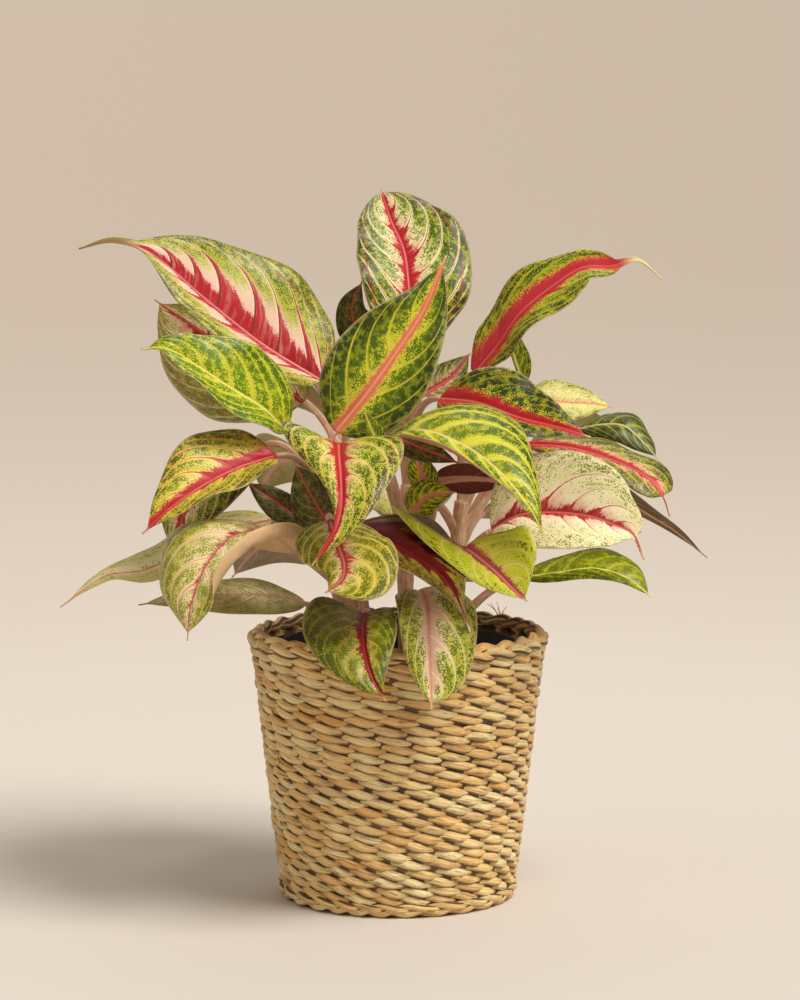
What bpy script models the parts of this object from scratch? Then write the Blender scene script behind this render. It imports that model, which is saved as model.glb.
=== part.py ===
"""Chinese evergreen with pink and green blades, in a black pot inside a woven basket.

The origin is the middle of the basket's flat underside. +Z is up and -Y is the front.
"""
import math
from collections import namedtuple

import bmesh
import bpy
import numpy as np

# Everything below is in millimetres, and MM turns it into metres
MM = 0.001
CLEARANCE = 0.3

# Basket
BASKET_FOOT_RADIUS = 96.0
BASKET_TOP_RADIUS = 119.5
BASKET_WALL_TOP = 204.0
BASKET_WALL = 9.0
BASKET_FLOOR = 6.0
BASKET_ROWS = 20
BASKET_COLUMNS = 40
LINING_FOOT_ROWS = 3
ROW_RELIEF = 2.6
GRAIN_RELIEF = 1.2
GRAINS_PER_ROW = 20
CREST_TOLERANCE = 0.5
BORDER_RADIUS = 8.0
FOOT_BORDER_RADIUS = 5.0
FOOT_DISC_RADIUS = 86.0
FOOT_TUCK = 4.0
FOOT_TUCK_HEIGHT = 14.0
BORDER_PLAITS = 18
BORDER_RELIEF = 1.3
BORDER_SIDES = 8
BORDER_LEAN = 0.9

# Black nursery pot and its soil
POT_RIM_RADIUS = 97.0
POT_TOP = 208.0
POT_BASE_RADIUS = 72.0
POT_WALL = 1.6
POT_FLOOR = 2.0
POT_LIP_HEIGHT = 14.0
POT_LIP_STEP = 2.4
POT_COLUMNS = 32
SOIL_TOP = 186.0
HOLE_DEPTH = 36.0
HOLE_SIDES = 16
MERGE_DISTANCE = 0.01

# Stems: a stalk leaves its cane below the blade's foot, by a drop that grows with the way out
CANE_RADIUS = 6.5
CANE_STEPS = 4
CANE_SIDES = 8
STALK_FOOT_RADIUS = 4.5
STALK_END_RADIUS = 2.4
STALK_STEPS = 5
STALK_SIDES = 6
STALK_END_LENGTH = 3.0
STALK_SET = 1.5
STALK_DROP = 30.0
STALK_DROP_PER_REACH = 0.7
LOWEST_STALK = 10.0
HIGHEST_STALK = 4.0
STALK_LEAN = 0.4
FOOT_HANDLE = 0.4
END_HANDLE = 0.3

# Blades: the shape is fuller near the foot, and the drip tip keeps a narrow tail
BLADE_THICKNESS = 0.9
BLADE_TIP_HALF = 0.8
BLADE_RISE = 0.62
TAIL_HALF = 0.055
TAIL_START = 0.8
TAIL_TAPER = 0.8
LOBE_PEAK = 0.12
SECTION_STEPS = 24
ROLL_START = 0.4
EDGE_CALM = (0.02, 0.2, 0.7, 0.92)
WAVE_LAG = 2.0
LARGE_BLADE = 95.0
LARGE_BLADE_CELLS = (10, 6)
SMALL_BLADE_CELLS = (6, 2)
PATH_STEPS = 160
DIRECTION_STEP = 0.012
LEAST_SHARE = 1e-6

ROUGHNESS = 0.6
COLOURS = {
    "pink": (0.55, 0.30, 0.22, 1.0),
    "lime": (0.42, 0.50, 0.10, 1.0),
    "cream": (0.75, 0.68, 0.38, 1.0),
    "green": (0.16, 0.28, 0.05, 1.0),
    "red": (0.28, 0.05, 0.03, 1.0),
    "olive": (0.12, 0.14, 0.05, 1.0),
    "stem": (0.62, 0.42, 0.32, 1.0),
    "soil": (0.035, 0.022, 0.015, 1.0),
    "pot": (0.012, 0.012, 0.012, 1.0),
    "straw": (0.55, 0.38, 0.20, 1.0),
}

Shoot = namedtuple("Shoot", "name foot top")

SHOOTS = (
    Shoot("west", (-42, 2), (-52, -2, 290)),
    Shoot("south_west", (-24, -36), (-34, -44, 290)),
    Shoot("south", (8, -42), (4, -50, 300)),
    Shoot("south_east", (38, -22), (46, -32, 280)),
    Shoot("east", (38, 16), (52, 18, 320)),
    Shoot("north", (6, 38), (8, 52, 330)),
    Shoot("north_west", (-30, 30), (-40, 42, 330)),
)

# A blade's midrib runs from its foot to its tip, and left and right are its half widths
# as seen from above its upper face with the tip ahead. Face is the way its upper face looks:
# degrees round from the front towards +X, then degrees up. Fold lifts both halves off the
# midrib, curl bends them back down, drip is where the drip tip starts, broadest is where
# along the blade each half is broadest, and sweep is how far each half's lobe reaches back
# past the blade's foot. Roll turns the outer part of each half up and over, wave is the
# height of the edge's waves and their number, and tail is the half width of the drip tip.
Leaf = namedtuple(
    "Leaf",
    "name shoot colour midrib left right face fold curl drip broadest sweep roll wave tail",
    defaults=(16, 30, 0.96, (0.36, 0.36), (0, 0), (0, 0), (0, 2), TAIL_HALF),
)

LEAVES = (
    Leaf("leaf_01_upper_left", "north_west", "pink",
         ((-62, 20, 419), (-110, 15, 449), (-156, 10, 486), (-200, 5, 523), (-230, 5, 532), (-257, 5, 526)),
         46, 66, (30, 36), 26, 14, 0.80, (0.30, 0.32), (0, 10), wave=(2.5, 3), tail=0.13),
    Leaf("leaf_02_left_shaded", "north_west", "pink",
         ((-78, 60, 398), (-112, 55, 423), (-145, 50, 445), (-173, 45, 465), (-199, 40, 483)),
         72, 50, (-35, -10), 14, 30, 0.96, (0.42, 0.36)),
    Leaf("leaf_03_left_young", "west", "green",
         ((-89, -30, 382), (-107, -40, 401), (-134, -50, 419), (-159, -55, 436), (-183, -60, 450),
          (-202, -60, 449)),
         30, 42, (28, 37), 24, 10, wave=(1.5, 2)),
    Leaf("leaf_04_top", "north", "pink",
         ((16, 40, 441), (11, 50, 468), (9, 62, 495), (5, 78, 523), (-6, 92, 548), (-15, 100, 575)),
         44, 54, (14, 20), 20, 20, 0.96, (0.50, 0.50), wave=(2, 3)),
    Leaf("leaf_05_centre", "south_west", "lime",
         ((-49, -75, 385), (-23, -75, 417), (0, -70, 449), (21, -62, 481), (38, -50, 522)),
         44, 40, (-6, 6), 20, 10, 0.96, (0.33, 0.33), wave=(2, 2)),
    Leaf("leaf_06_upper_right", "east", "pink",
         ((62, 20, 425), (80, 18, 447), (99, 15, 474), (124, 15, 495), (150, 15, 511), (173, 12, 512),
          (193, 10, 517), (214, 8, 501)),
         31, 38, (-30, 44), 18, 10, 0.78, (0.34, 0.42), wave=(3, 3), tail=0.17),
    Leaf("leaf_07_right_spike", "east", "green",
         ((104, 60, 413), (97, 60, 433), (91, 60, 453), (91, 60, 471)),
         3, 13, (20, 0)),
    Leaf("leaf_08_right_dark", "north", "red",
         ((34, -10, 407), (64, -35, 405), (97, -50, 394), (128, -60, 387), (152, -65, 380)),
         38, 30, (12, 40), 20, 20, wave=(1.5, 3)),
    Leaf("leaf_09_centre_arching", "south", "lime",
         ((-8, -70, 383), (21, -95, 388), (52, -120, 378), (78, -140, 360), (101, -155, 333),
          (113, -160, 308)),
         62, 24, (20, 36), 12, 40, 0.96, (0.30, 0.30), (0, 0), (0, 110), (1, 2)),
    Leaf("leaf_10_front_hanging", "south_west", "pink",
         ((-46, -98, 378), (-45, -130, 371), (-43, -158, 354), (-43, -174, 335), (-48, -185, 318),
          (-65, -190, 293)),
         50, 50, (-5, 52), 30, 50, 0.96, (0.28, 0.15), (10, 24), wave=(2, 2)),
    Leaf("leaf_11_left_middle", "west", "pink",
         ((-97, -50, 364), (-125, -65, 356), (-151, -80, 344), (-176, -95, 328), (-199, -105, 308)),
         36, 42, (-28, 36), 30, 16, 0.96, (0.36, 0.34), wave=(2, 2)),
    Leaf("leaf_12_left_behind", "west", "pink",
         ((-109, -6, 369), (-136, -14, 357), (-158, -22, 338), (-173, -30, 312), (-180, -38, 284)),
         40, 34, (-30, 35), 16, 30, 0.96, (0.42, 0.42)),
    Leaf("leaf_13_far_left_low", "west", "red",
         ((-103, 20, 305), (-137, 15, 297), (-171, 5, 282), (-205, -5, 267), (-237, -10, 262),
          (-273, -15, 238)),
         18, 31, (-10, 55), 10, 30, 0.96, (0.32, 0.32), wave=(2, 3)),
    Leaf("leaf_14_left_low_arch", "south_west", "cream",
         ((-77, -70, 288), (-101, -95, 308), (-128, -120, 308), (-147, -140, 288), (-158, -155, 260),
          (-161, -160, 232)),
         42, 70, (-30, 35), 10, 50, 0.96, (0.42, 0.40), (0, 0), (170, 0), (2, 2)),
    Leaf("leaf_15_left_grey", "west", "olive",
         ((-74, -20, 242), (-107, -30, 250), (-142, -45, 252), (-173, -55, 251), (-206, -60, 246)),
         26, 26, (0, 62), 10, 30),
    Leaf("leaf_16_over_rim_left", "south_west", "green",
         ((-25, -100, 245), (-27, -131, 237), (-25, -157, 221), (-19, -173, 205), (-9, -181, 189)),
         28, 46, (-8, 44), 22, 30, 0.96, (0.36, 0.36), (6, 26)),
    Leaf("leaf_17_over_rim_middle", "south", "cream",
         ((12, -60, 256), (18, -94, 261), (23, -127, 251), (24, -143, 227), (25, -151, 201),
          (26, -158, 178)),
         38, 24, (5, 40), 16, 30, 0.96, (0.55, 0.45), wave=(1.5, 2)),
    Leaf("leaf_18_dark_red", "south_west", "red",
         ((-38, -80, 311), (-12, -104, 304), (13, -126, 293), (35, -150, 279), (47, -171, 262),
          (55, -182, 242)),
         48, 26, (22, 42), 16, 30, 0.96, (0.25, 0.30), wave=(1.5, 2)),
    Leaf("leaf_19_front_lime", "south_east", "lime",
         ((52, -114, 298), (54, -124, 298), (63, -132, 292), (76, -141, 282), (87, -152, 272),
          (98, -162, 263)),
         42, 26, (10, 25), 26, 10, 0.96, (0.40, 0.40), (-20, 72)),
    Leaf("leaf_20_right_cream", "south_east", "cream",
         ((74, -60, 306), (96, -70, 319), (123, -80, 322), (150, -90, 320), (169, -95, 314),
          (183, -98, 307), (192, -100, 287)),
         50, 42, (0, 30), 24, 10, 0.88, (0.40, 0.40), wave=(2.5, 2)),
    Leaf("leaf_21_right_pale", "east", "cream",
         ((109, 60, 404), (134, 65, 398), (159, 70, 396), (179, 72, 393)),
         22, 20, (0, 40)),
    Leaf("leaf_22_right_drooping", "east", "green",
         ((149, 40, 378), (168, 35, 382), (185, 30, 381), (200, 25, 368), (212, 20, 355)),
         28, 20, (20, 50), 10, 50, 0.96, (0.40, 0.40)),
    Leaf("leaf_23_right_hooked", "east", "pink",
         ((102, 10, 368), (139, 0, 366), (172, -10, 357), (198, -20, 345), (212, -28, 330),
          (218, -30, 313)),
         30, 24, (20, 60), 10, 30, 0.88, (0.60, 0.60), wave=(1.5, 3)),
    Leaf("leaf_24_far_right_narrow", "east", "olive",
         ((132, 30, 356), (165, 25, 338), (197, 20, 315), (226, 15, 297), (252, 10, 275)),
         20, 20, (170, 66)),
    Leaf("leaf_25_right_low", "south_east", "green",
         ((98, -25, 263), (130, -35, 269), (157, -42, 273), (183, -50, 266), (202, -55, 251)),
         48, 12, (8, 60), 10, 50, 0.96, (0.44, 0.44)),
    Leaf("leaf_26_curled_scrap", "south", "green",
         ((-14, -88, 374), (-20, -92, 388), (-26, -93, 402)),
         6, 8, (0, 0)),
    Leaf("leaf_27_front_low", "south_west", "lime",
         ((-53, -100, 318), (-46, -125, 301), (-41, -140, 288), (-43, -152, 278), (-55, -165, 270)),
         42, 34, (0, 35), 20, 30, 0.96, (0.62, 0.36)),
    Leaf("leaf_28_left_inner", "west", "olive",
         ((-77, -30, 310), (-98, -30, 325), (-122, -28, 341)),
         14, 12, (-10, 30)),
    Leaf("leaf_29_inner_dark", "south_west", "olive",
         ((-50, -45, 300), (-62, -50, 320), (-72, -52, 338), (-82, -52, 358)),
         22, 24, (0, 20)),
    Leaf("leaf_30_inner_red", "east", "red",
         ((30, 0, 338), (52, -8, 341), (74, -14, 341), (96, -18, 336)),
         18, 18, (180, 40)),
    Leaf("leaf_31_back_brown", "north", "olive",
         ((-25, 110, 436), (-39, 115, 470), (-30, 118, 496)),
         16, 16, (-10, 20)),
    Leaf("leaf_32_inner_glossy", "north", "pink",
         ((21, 30, 407), (42, 28, 420), (59, 25, 441)),
         16, 14, (10, 30)),
    Leaf("leaf_33_inner_lime", "south", "lime",
         ((10, -30, 314), (24, -32, 329), (46, -35, 333)),
         16, 14, (0, 20)),
    Leaf("leaf_34_inner_upright", "north", "lime",
         ((26, -14, 330), (18, -12, 349), (11, -10, 367)),
         12, 12, (0, 10)),
    Leaf("leaf_35_inner_narrow", "south", "olive",
         ((-10, -45, 384), (13, -50, 372), (33, -52, 364), (49, -55, 358)),
         12, 12, (10, 20)),
    Leaf("leaf_36_back_left_high", "north_west", "pink",
         ((-60, 90, 390), (-92, 115, 411), (-125, 140, 418), (-158, 160, 406)),
         38, 38, (150, 45)),
    Leaf("leaf_37_back_middle", "north", "green",
         ((0, 100, 395), (0, 135, 415), (-2, 170, 420), (-4, 205, 400)),
         40, 40, (180, 45)),
    Leaf("leaf_38_back_right_high", "east", "pink",
         ((64, 85, 372), (80, 115, 383), (95, 145, 380), (108, 175, 362)),
         38, 38, (-150, 45)),
    Leaf("leaf_39_back_right_low", "east", "lime",
         ((70, 70, 306), (95, 105, 318), (118, 140, 308), (135, 172, 279)),
         38, 38, (-145, 45)),
    Leaf("leaf_40_back_left_middle", "north_west", "lime",
         ((-60, 75, 330), (-82, 110, 345), (-103, 145, 338), (-120, 178, 310)),
         38, 38, (150, 45)),
    Leaf("leaf_41_back_low", "north", "cream",
         ((4, 85, 300), (6, 125, 312), (8, 165, 300), (10, 200, 262)),
         40, 40, (180, 50)),
    Leaf("leaf_42_back_left_low", "north_west", "green",
         ((-62, 62, 268), (-90, 90, 278), (-118, 115, 270), (-142, 138, 242)),
         34, 34, (140, 50)),
    Leaf("leaf_43_back_upper", "north", "pink",
         ((6, 104, 428), (6, 132, 456), (6, 162, 474), (6, 192, 474)),
         30, 30, (180, 45)),
    Leaf("leaf_44_back_left_upper", "north_west", "lime",
         ((-78, 92, 428), (-104, 112, 457), (-132, 130, 474), (-162, 146, 472)),
         32, 32, (140, 45)),
    Leaf("leaf_45_back_right_middle", "east", "cream",
         ((104, 78, 354), (132, 98, 367), (160, 116, 361), (184, 130, 337)),
         34, 34, (-130, 45)),
    Leaf("leaf_46_back_right_lowest", "east", "green",
         ((50, 68, 252), (70, 94, 261), (90, 118, 253), (106, 140, 227)),
         34, 34, (-145, 50)),
)


def new_material(name):
    """A plain material of one of the part's colours."""
    material = bpy.data.materials.new(name)
    material.use_nodes = True
    shader = material.node_tree.nodes["Principled BSDF"]
    shader.inputs["Base Color"].default_value = COLOURS[name]
    shader.inputs["Roughness"].default_value = ROUGHNESS
    return material


def add_object(name, data, collection, material=None):
    """Link a mesh or a curve to a collection as an object."""
    thing = bpy.data.objects.new(name, data)
    collection.objects.link(thing)
    if material:
        data.materials.append(material)
    return thing


def evaluated_mesh(thing):
    """The object's mesh with its modifiers, as new data in the object's own space."""
    graph = bpy.context.evaluated_depsgraph_get()
    return bpy.data.meshes.new_from_object(thing.evaluated_get(graph))


def unit(vector):
    return vector / np.linalg.norm(vector)


def smooth_path(points, count=PATH_STEPS):
    """Points along a smooth curve through the given ones."""
    points = np.asarray(points, float)
    knots = np.concatenate([[0.0], np.cumsum(np.linalg.norm(np.diff(points, axis=0), axis=1))])
    slopes = np.empty_like(points)
    slopes[0] = (points[1] - points[0]) / (knots[1] - knots[0])
    slopes[-1] = (points[-1] - points[-2]) / (knots[-1] - knots[-2])
    slopes[1:-1] = (points[2:] - points[:-2]) / (knots[2:] - knots[:-2])[:, None]
    along = np.linspace(0.0, knots[-1], count)
    span = np.clip(np.searchsorted(knots, along, side="right") - 1, 0, len(points) - 2)
    reach = (knots[span + 1] - knots[span])[:, None]
    x = (along - knots[span])[:, None] / reach
    start = (2 * x ** 3 - 3 * x ** 2 + 1) * points[span] + (x ** 3 - 2 * x ** 2 + x) * reach * slopes[span]
    end = (3 * x ** 2 - 2 * x ** 3) * points[span + 1] + (x ** 3 - x ** 2) * reach * slopes[span + 1]
    return start + end


class Midrib:
    """A blade's midrib, read by the share of its length."""

    def __init__(self, points):
        self.path = smooth_path(points)
        steps = np.linalg.norm(np.diff(self.path, axis=0), axis=1)
        self.distance = np.concatenate([[0.0], np.cumsum(steps)])
        self.length = self.distance[-1]
        self.chord = unit(self.path[-1] - self.path[0])

    def place(self, share):
        """The point at a share of the length."""
        reach = np.clip(share, 0.0, 1.0) * self.length
        return np.array([np.interp(reach, self.distance, self.path[:, k]) for k in range(3)])

    def direction(self, share):
        """The way the midrib runs there."""
        return unit(self.place(share + DIRECTION_STEP) - self.place(share - DIRECTION_STEP))


def smooth_step(low, high, value):
    """0 below low, 1 above high and smooth between."""
    share = np.clip((value - low) / (high - low), 0.0, 1.0)
    return share * share * (3.0 - 2.0 * share)


def half_shape(share, broadest, drip, tail):
    """The half width at a share of the length, as a part of the greatest one."""
    body = min(max(share / drip, LEAST_SHARE), 1.0)
    peak = broadest / drip
    fall = BLADE_RISE * (1.0 - peak) / peak
    swell = body ** BLADE_RISE * (1.0 - body) ** fall / (peak ** BLADE_RISE * (1.0 - peak) ** fall)
    left_over = min(max((1.0 - share) / (1.0 - TAIL_START * drip), 0.0), 1.0)
    return math.hypot(swell, tail * left_over ** TAIL_TAPER)


def half_section(leaf, share, right, reach):
    """How far out and up the blade is at a reach, both as parts of its half width."""
    calm = smooth_step(*EDGE_CALM[:2], share) * (1.0 - smooth_step(*EDGE_CALM[2:], share))
    steps = np.linspace(0.0, reach, SECTION_STEPS + 1)
    middle = (steps[1:] + steps[:-1]) / 2
    angle = np.radians(leaf.fold - leaf.curl * middle
                       + leaf.roll[right] * calm * smooth_step(ROLL_START, 1.0, middle))
    step = reach / SECTION_STEPS
    wave = math.sin(2 * math.pi * leaf.wave[1] * share + WAVE_LAG * right) * leaf.wave[0] * calm * reach ** 2
    return np.cos(angle).sum() * step, np.sin(angle).sum() * step, wave


def facing(leaf):
    """The way the blade's upper face looks."""
    turn, lift = (math.radians(angle) for angle in leaf.face)
    return np.array([math.sin(turn) * math.cos(lift), -math.cos(turn) * math.cos(lift), math.sin(lift)])


def blade_axes(leaf, midrib, share):
    """The ways ahead, to the right and up off the blade at a share of its midrib."""
    ahead = midrib.direction(share)
    sideways = np.cross(midrib.chord, facing(leaf))
    sideways = unit(sideways - (ahead @ sideways) * ahead)
    return ahead, sideways, np.cross(sideways, ahead)


def blade_point(leaf, midrib, share, across):
    """A point of the upper face. Across runs from -1 at the left edge to 1 at the right."""
    ahead, sideways, up = blade_axes(leaf, midrib, share)
    right = int(across > 0)
    half = leaf.right if right else leaf.left
    width = max(half * half_shape(share, leaf.broadest[right], leaf.drip, leaf.tail), BLADE_TIP_HALF)
    reach = abs(across)
    out, lift, wave = half_section(leaf, share, right, reach)
    lobe = leaf.sweep[right] * reach ** 2 * share / LOBE_PEAK * math.exp(1.0 - share / LOBE_PEAK)
    aside = sideways * math.copysign(width * out, across) + up * (width * lift + wave)
    return midrib.place(share) + aside - midrib.chord * lobe


def add_blade(leaf, collection, material):
    """A leaf blade: a grid laid along the midrib and given its thickness."""
    midrib = Midrib(leaf.midrib)
    along, over = LARGE_BLADE_CELLS if midrib.length > LARGE_BLADE else SMALL_BLADE_CELLS
    shape = bmesh.new()
    bmesh.ops.create_grid(shape, x_segments=along, y_segments=over, size=1.0)
    bmesh.ops.triangulate(shape, faces=shape.faces[:])
    for corner in shape.verts:
        share = (corner.co.x + 1.0) / 2.0
        corner.co = blade_point(leaf, midrib, share, -corner.co.y) * MM
    mesh = bpy.data.meshes.new(leaf.name)
    shape.to_mesh(mesh)
    shape.free()
    mesh.shade_smooth()
    blade = add_object(leaf.name, mesh, collection, material)
    sheet = blade.modifiers.new("thickness", "SOLIDIFY")
    sheet.thickness = BLADE_THICKNESS * MM
    sheet.offset = -1.0
    return blade


def add_tube(name, points, radii, sides, collection):
    """A closed tube along points in millimetres, made a mesh."""
    curve = bpy.data.curves.new(name, "CURVE")
    curve.dimensions = "3D"
    curve.bevel_depth = MM
    curve.bevel_resolution = (sides - 4) // 2
    curve.use_fill_caps = True
    line = curve.splines.new("POLY")
    line.points.add(len(points) - 1)
    for knot, place, radius in zip(line.points, points, radii):
        knot.co = (*(np.asarray(place) * MM), 1.0)
        knot.radius = radius
    guide = add_object(name + "_guide", curve, collection)
    mesh = evaluated_mesh(guide)
    bpy.data.objects.remove(guide)
    shape = bmesh.new()
    shape.from_mesh(mesh)
    bmesh.ops.remove_doubles(shape, verts=shape.verts[:], dist=MERGE_DISTANCE * MM)
    bmesh.ops.recalc_face_normals(shape, faces=shape.faces[:])
    shape.to_mesh(mesh)
    shape.free()
    mesh.shade_smooth()
    return add_object(name, mesh, collection)


def cane_route(shoot):
    """Points up the cane, from its foot in the soil to its top."""
    foot = (*shoot.foot, SOIL_TOP - HOLE_DEPTH + CLEARANCE)
    collar = (*shoot.foot, SOIL_TOP + CANE_RADIUS)
    rise = smooth_path((collar, np.mean([collar, shoot.top], axis=0), shoot.top), CANE_STEPS)
    return [foot, *rise]


def stalk_route(leaf, shoot):
    """Points along the leaf's stalk, from inside its cane to its blade's foot."""
    midrib = Midrib(leaf.midrib)
    ahead, _, up = blade_axes(leaf, midrib, 0.0)
    end = midrib.place(0.0) - ahead * CLEARANCE - up * STALK_SET
    top = np.array(shoot.top, float)
    collar = np.array((*shoot.foot, SOIL_TOP + CANE_RADIUS))
    away = np.linalg.norm(end[:2] - top[:2])
    height = end[2] - STALK_DROP - STALK_DROP_PER_REACH * away
    height = min(max(height, collar[2] + LOWEST_STALK), top[2] - HIGHEST_STALK)
    start = collar + (top - collar) * (height - collar[2]) / (top[2] - collar[2])
    gap = np.linalg.norm(end - start)
    rising = unit(unit(top - collar) + STALK_LEAN * unit(end - start))
    handles = (start, start + rising * FOOT_HANDLE * gap, end - ahead * END_HANDLE * gap, end)
    route = []
    for step in range(STALK_STEPS + 1):
        t = step / STALK_STEPS
        weights = ((1 - t) ** 3, 3 * (1 - t) ** 2 * t, 3 * (1 - t) * t ** 2, t ** 3)
        route.append(sum(w * h for w, h in zip(weights, handles)))
    route.insert(-1, end - ahead * STALK_END_LENGTH)
    return route


def add_shoot(shoot, collection, helpers, material):
    """One leafy stem: its cane and all its stalks, joined into one body."""
    name = "shoot_" + shoot.name
    cane_points = cane_route(shoot)
    cane = add_tube(name, cane_points, [CANE_RADIUS] * len(cane_points), CANE_SIDES, collection)
    stalks = []
    for leaf in LEAVES:
        if leaf.shoot != shoot.name:
            continue
        route = stalk_route(leaf, shoot)
        radii = np.linspace(STALK_FOOT_RADIUS, STALK_END_RADIUS, len(route))
        stalks.append(add_tube(leaf.name + "_stalk", route, radii, STALK_SIDES, helpers))
    union = cane.modifiers.new("stalks", "BOOLEAN")
    union.operation = "UNION"
    union.operand_type = "COLLECTION"
    union.collection = helpers
    union.solver = "EXACT"
    joined = evaluated_mesh(cane)
    cane.modifiers.clear()
    cane.data = joined
    joined.materials.clear()
    joined.materials.append(material)
    for stalk in stalks:
        bpy.data.objects.remove(stalk)
    return cane


def turned(name, profile, columns, collection, material):
    """A solid turned about Z from a closed profile of (radius, height) in millimetres."""
    mesh = bpy.data.meshes.new(name)
    corners = [(radius * MM, 0.0, height * MM) for radius, height in profile]
    edges = [(k, (k + 1) % len(corners)) for k in range(len(corners))]
    if profile[0][0] == 0.0:
        edges.pop()
    mesh.from_pydata(corners, edges, [])
    body = add_object(name, mesh, collection)
    screw = body.modifiers.new("turn", "SCREW")
    screw.steps = columns
    screw.render_steps = columns
    screw.use_merge_vertices = True
    screw.merge_threshold = MERGE_DISTANCE * MM
    solid = evaluated_mesh(body)
    body.modifiers.clear()
    body.data = solid
    solid.materials.clear()
    solid.materials.append(material)
    return body


def basket_radius(height):
    """The wall's outer radius at a height: straight, and tucked in just above the foot."""
    flare = (BASKET_TOP_RADIUS - BASKET_FOOT_RADIUS) * height / BASKET_WALL_TOP
    return BASKET_FOOT_RADIUS + flare - FOOT_TUCK * math.exp(-height / FOOT_TUCK_HEIGHT)


def add_basket(collection, material):
    """The woven wall and its floor, with a crest on every grain of every row."""
    foot = BASKET_FLOOR
    wall_foot = 2 * FOOT_BORDER_RADIUS + CLEARANCE
    pitch = (BASKET_WALL_TOP - wall_foot) / BASKET_ROWS
    outer = [(basket_radius(BASKET_WALL_TOP) - ROW_RELIEF, BASKET_WALL_TOP)]
    for row in range(BASKET_ROWS):
        top = BASKET_WALL_TOP - row * pitch
        outer.append((basket_radius(top - pitch / 2), top - pitch / 2))
        outer.append((basket_radius(top - pitch) - ROW_RELIEF, top - pitch))
    outer.append((FOOT_DISC_RADIUS, wall_foot))
    outer.append((FOOT_DISC_RADIUS, 0.0))
    inner = [(FOOT_DISC_RADIUS - BASKET_WALL, foot),
             (basket_radius(LINING_FOOT_ROWS * pitch) - BASKET_WALL, LINING_FOOT_ROWS * pitch),
             (basket_radius(BASKET_WALL_TOP) - BASKET_WALL, BASKET_WALL_TOP)]
    profile = [*outer, (0.0, 0.0), (0.0, foot), *inner]
    start = profile.index((0.0, foot))
    profile = profile[start:] + profile[:start]
    basket = turned("basket", profile, BASKET_COLUMNS, collection, material)
    for corner in basket.data.vertices:
        height = corner.co.z / MM
        radius = math.hypot(corner.co.x, corner.co.y) / MM
        if height < wall_foot + CREST_TOLERANCE or radius < basket_radius(height) - CREST_TOLERANCE:
            continue
        row = round((BASKET_WALL_TOP - height) / pitch - 0.5)
        turn = math.atan2(corner.co.y, corner.co.x) / (2 * math.pi) * GRAINS_PER_ROW + 0.5 * (row % 2)
        push = 1.0 + GRAIN_RELIEF * math.cos(2 * math.pi * turn) / radius
        corner.co.x *= push
        corner.co.y *= push
    return basket


def add_border(name, ring_radius, height, thickness, lean, collection, material):
    """A plaited ring round the basket, with a bump for each strand that crosses over.

    Lean is the side that the bumps are on, in radians up from the outer side.
    """
    columns = 2 * BORDER_PLAITS
    profile = [(ring_radius + thickness * math.cos(a), height + thickness * math.sin(a))
               for a in np.arange(BORDER_SIDES) * 2 * math.pi / BORDER_SIDES]
    ring = turned(name, profile[::-1], columns, collection, material)
    for corner in ring.data.vertices:
        turn = math.atan2(corner.co.y, corner.co.x)
        radius = math.hypot(corner.co.x, corner.co.y)
        side = math.atan2(corner.co.z / MM - height, radius / MM - ring_radius)
        facing_out = max(0.0, math.cos(side - lean))
        bump = BORDER_RELIEF * facing_out * math.cos(BORDER_PLAITS * turn + 2 * side)
        push = 1.0 + bump * math.cos(side) * MM / radius
        corner.co.x *= push
        corner.co.y *= push
        corner.co.z += bump * math.sin(side) * MM
    return ring


def add_pot(collection, material):
    """The black nursery pot with its stepped lip."""
    lip = POT_RIM_RADIUS - POT_LIP_STEP
    foot = BASKET_FLOOR + 2 * CLEARANCE
    floor = foot + POT_FLOOR
    step = POT_TOP - POT_LIP_HEIGHT
    inner = POT_RIM_RADIUS - POT_WALL
    profile = [(0.0, floor), (POT_BASE_RADIUS - POT_WALL, floor), (lip - POT_WALL, step),
               (inner, step), (inner, POT_TOP), (POT_RIM_RADIUS, POT_TOP),
               (POT_RIM_RADIUS, step - POT_WALL), (lip, step - POT_WALL),
               (POT_BASE_RADIUS, foot), (0.0, foot)]
    return turned("nursery_pot", profile, POT_COLUMNS, collection, material)


def add_soil(collection, cutters, material):
    """The soil that fills the pot, with a hole for each cane."""
    foot = BASKET_FLOOR + 3 * CLEARANCE + POT_FLOOR
    lip = POT_RIM_RADIUS - POT_LIP_STEP
    slope = (lip - POT_BASE_RADIUS) / (POT_TOP - POT_LIP_HEIGHT - BASKET_FLOOR)
    top = POT_BASE_RADIUS + slope * (SOIL_TOP - BASKET_FLOOR) - POT_WALL - 2 * CLEARANCE
    bottom = POT_BASE_RADIUS - POT_WALL - 2 * CLEARANCE
    profile = [(0.0, SOIL_TOP), (top, SOIL_TOP), (bottom, foot), (0.0, foot)]
    soil = turned("soil", profile, POT_COLUMNS, collection, material)
    radius = (CANE_RADIUS + CLEARANCE) / math.cos(math.pi / HOLE_SIDES) * MM
    for shoot in SHOOTS:
        bore = bmesh.new()
        bmesh.ops.create_cone(bore, cap_ends=True, segments=HOLE_SIDES, depth=2 * HOLE_DEPTH * MM,
                              radius1=radius, radius2=radius)
        mesh = bpy.data.meshes.new("bore_" + shoot.name)
        bore.to_mesh(mesh)
        bore.free()
        cutter = add_object("bore_" + shoot.name, mesh, cutters)
        cutter.location = (shoot.foot[0] * MM, shoot.foot[1] * MM, SOIL_TOP * MM)
        cutter.hide_render = True
        cutter.display_type = "WIRE"
    holes = soil.modifiers.new("holes", "BOOLEAN")
    holes.operation = "DIFFERENCE"
    holes.operand_type = "COLLECTION"
    holes.collection = cutters
    holes.solver = "EXACT"
    return soil


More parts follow.
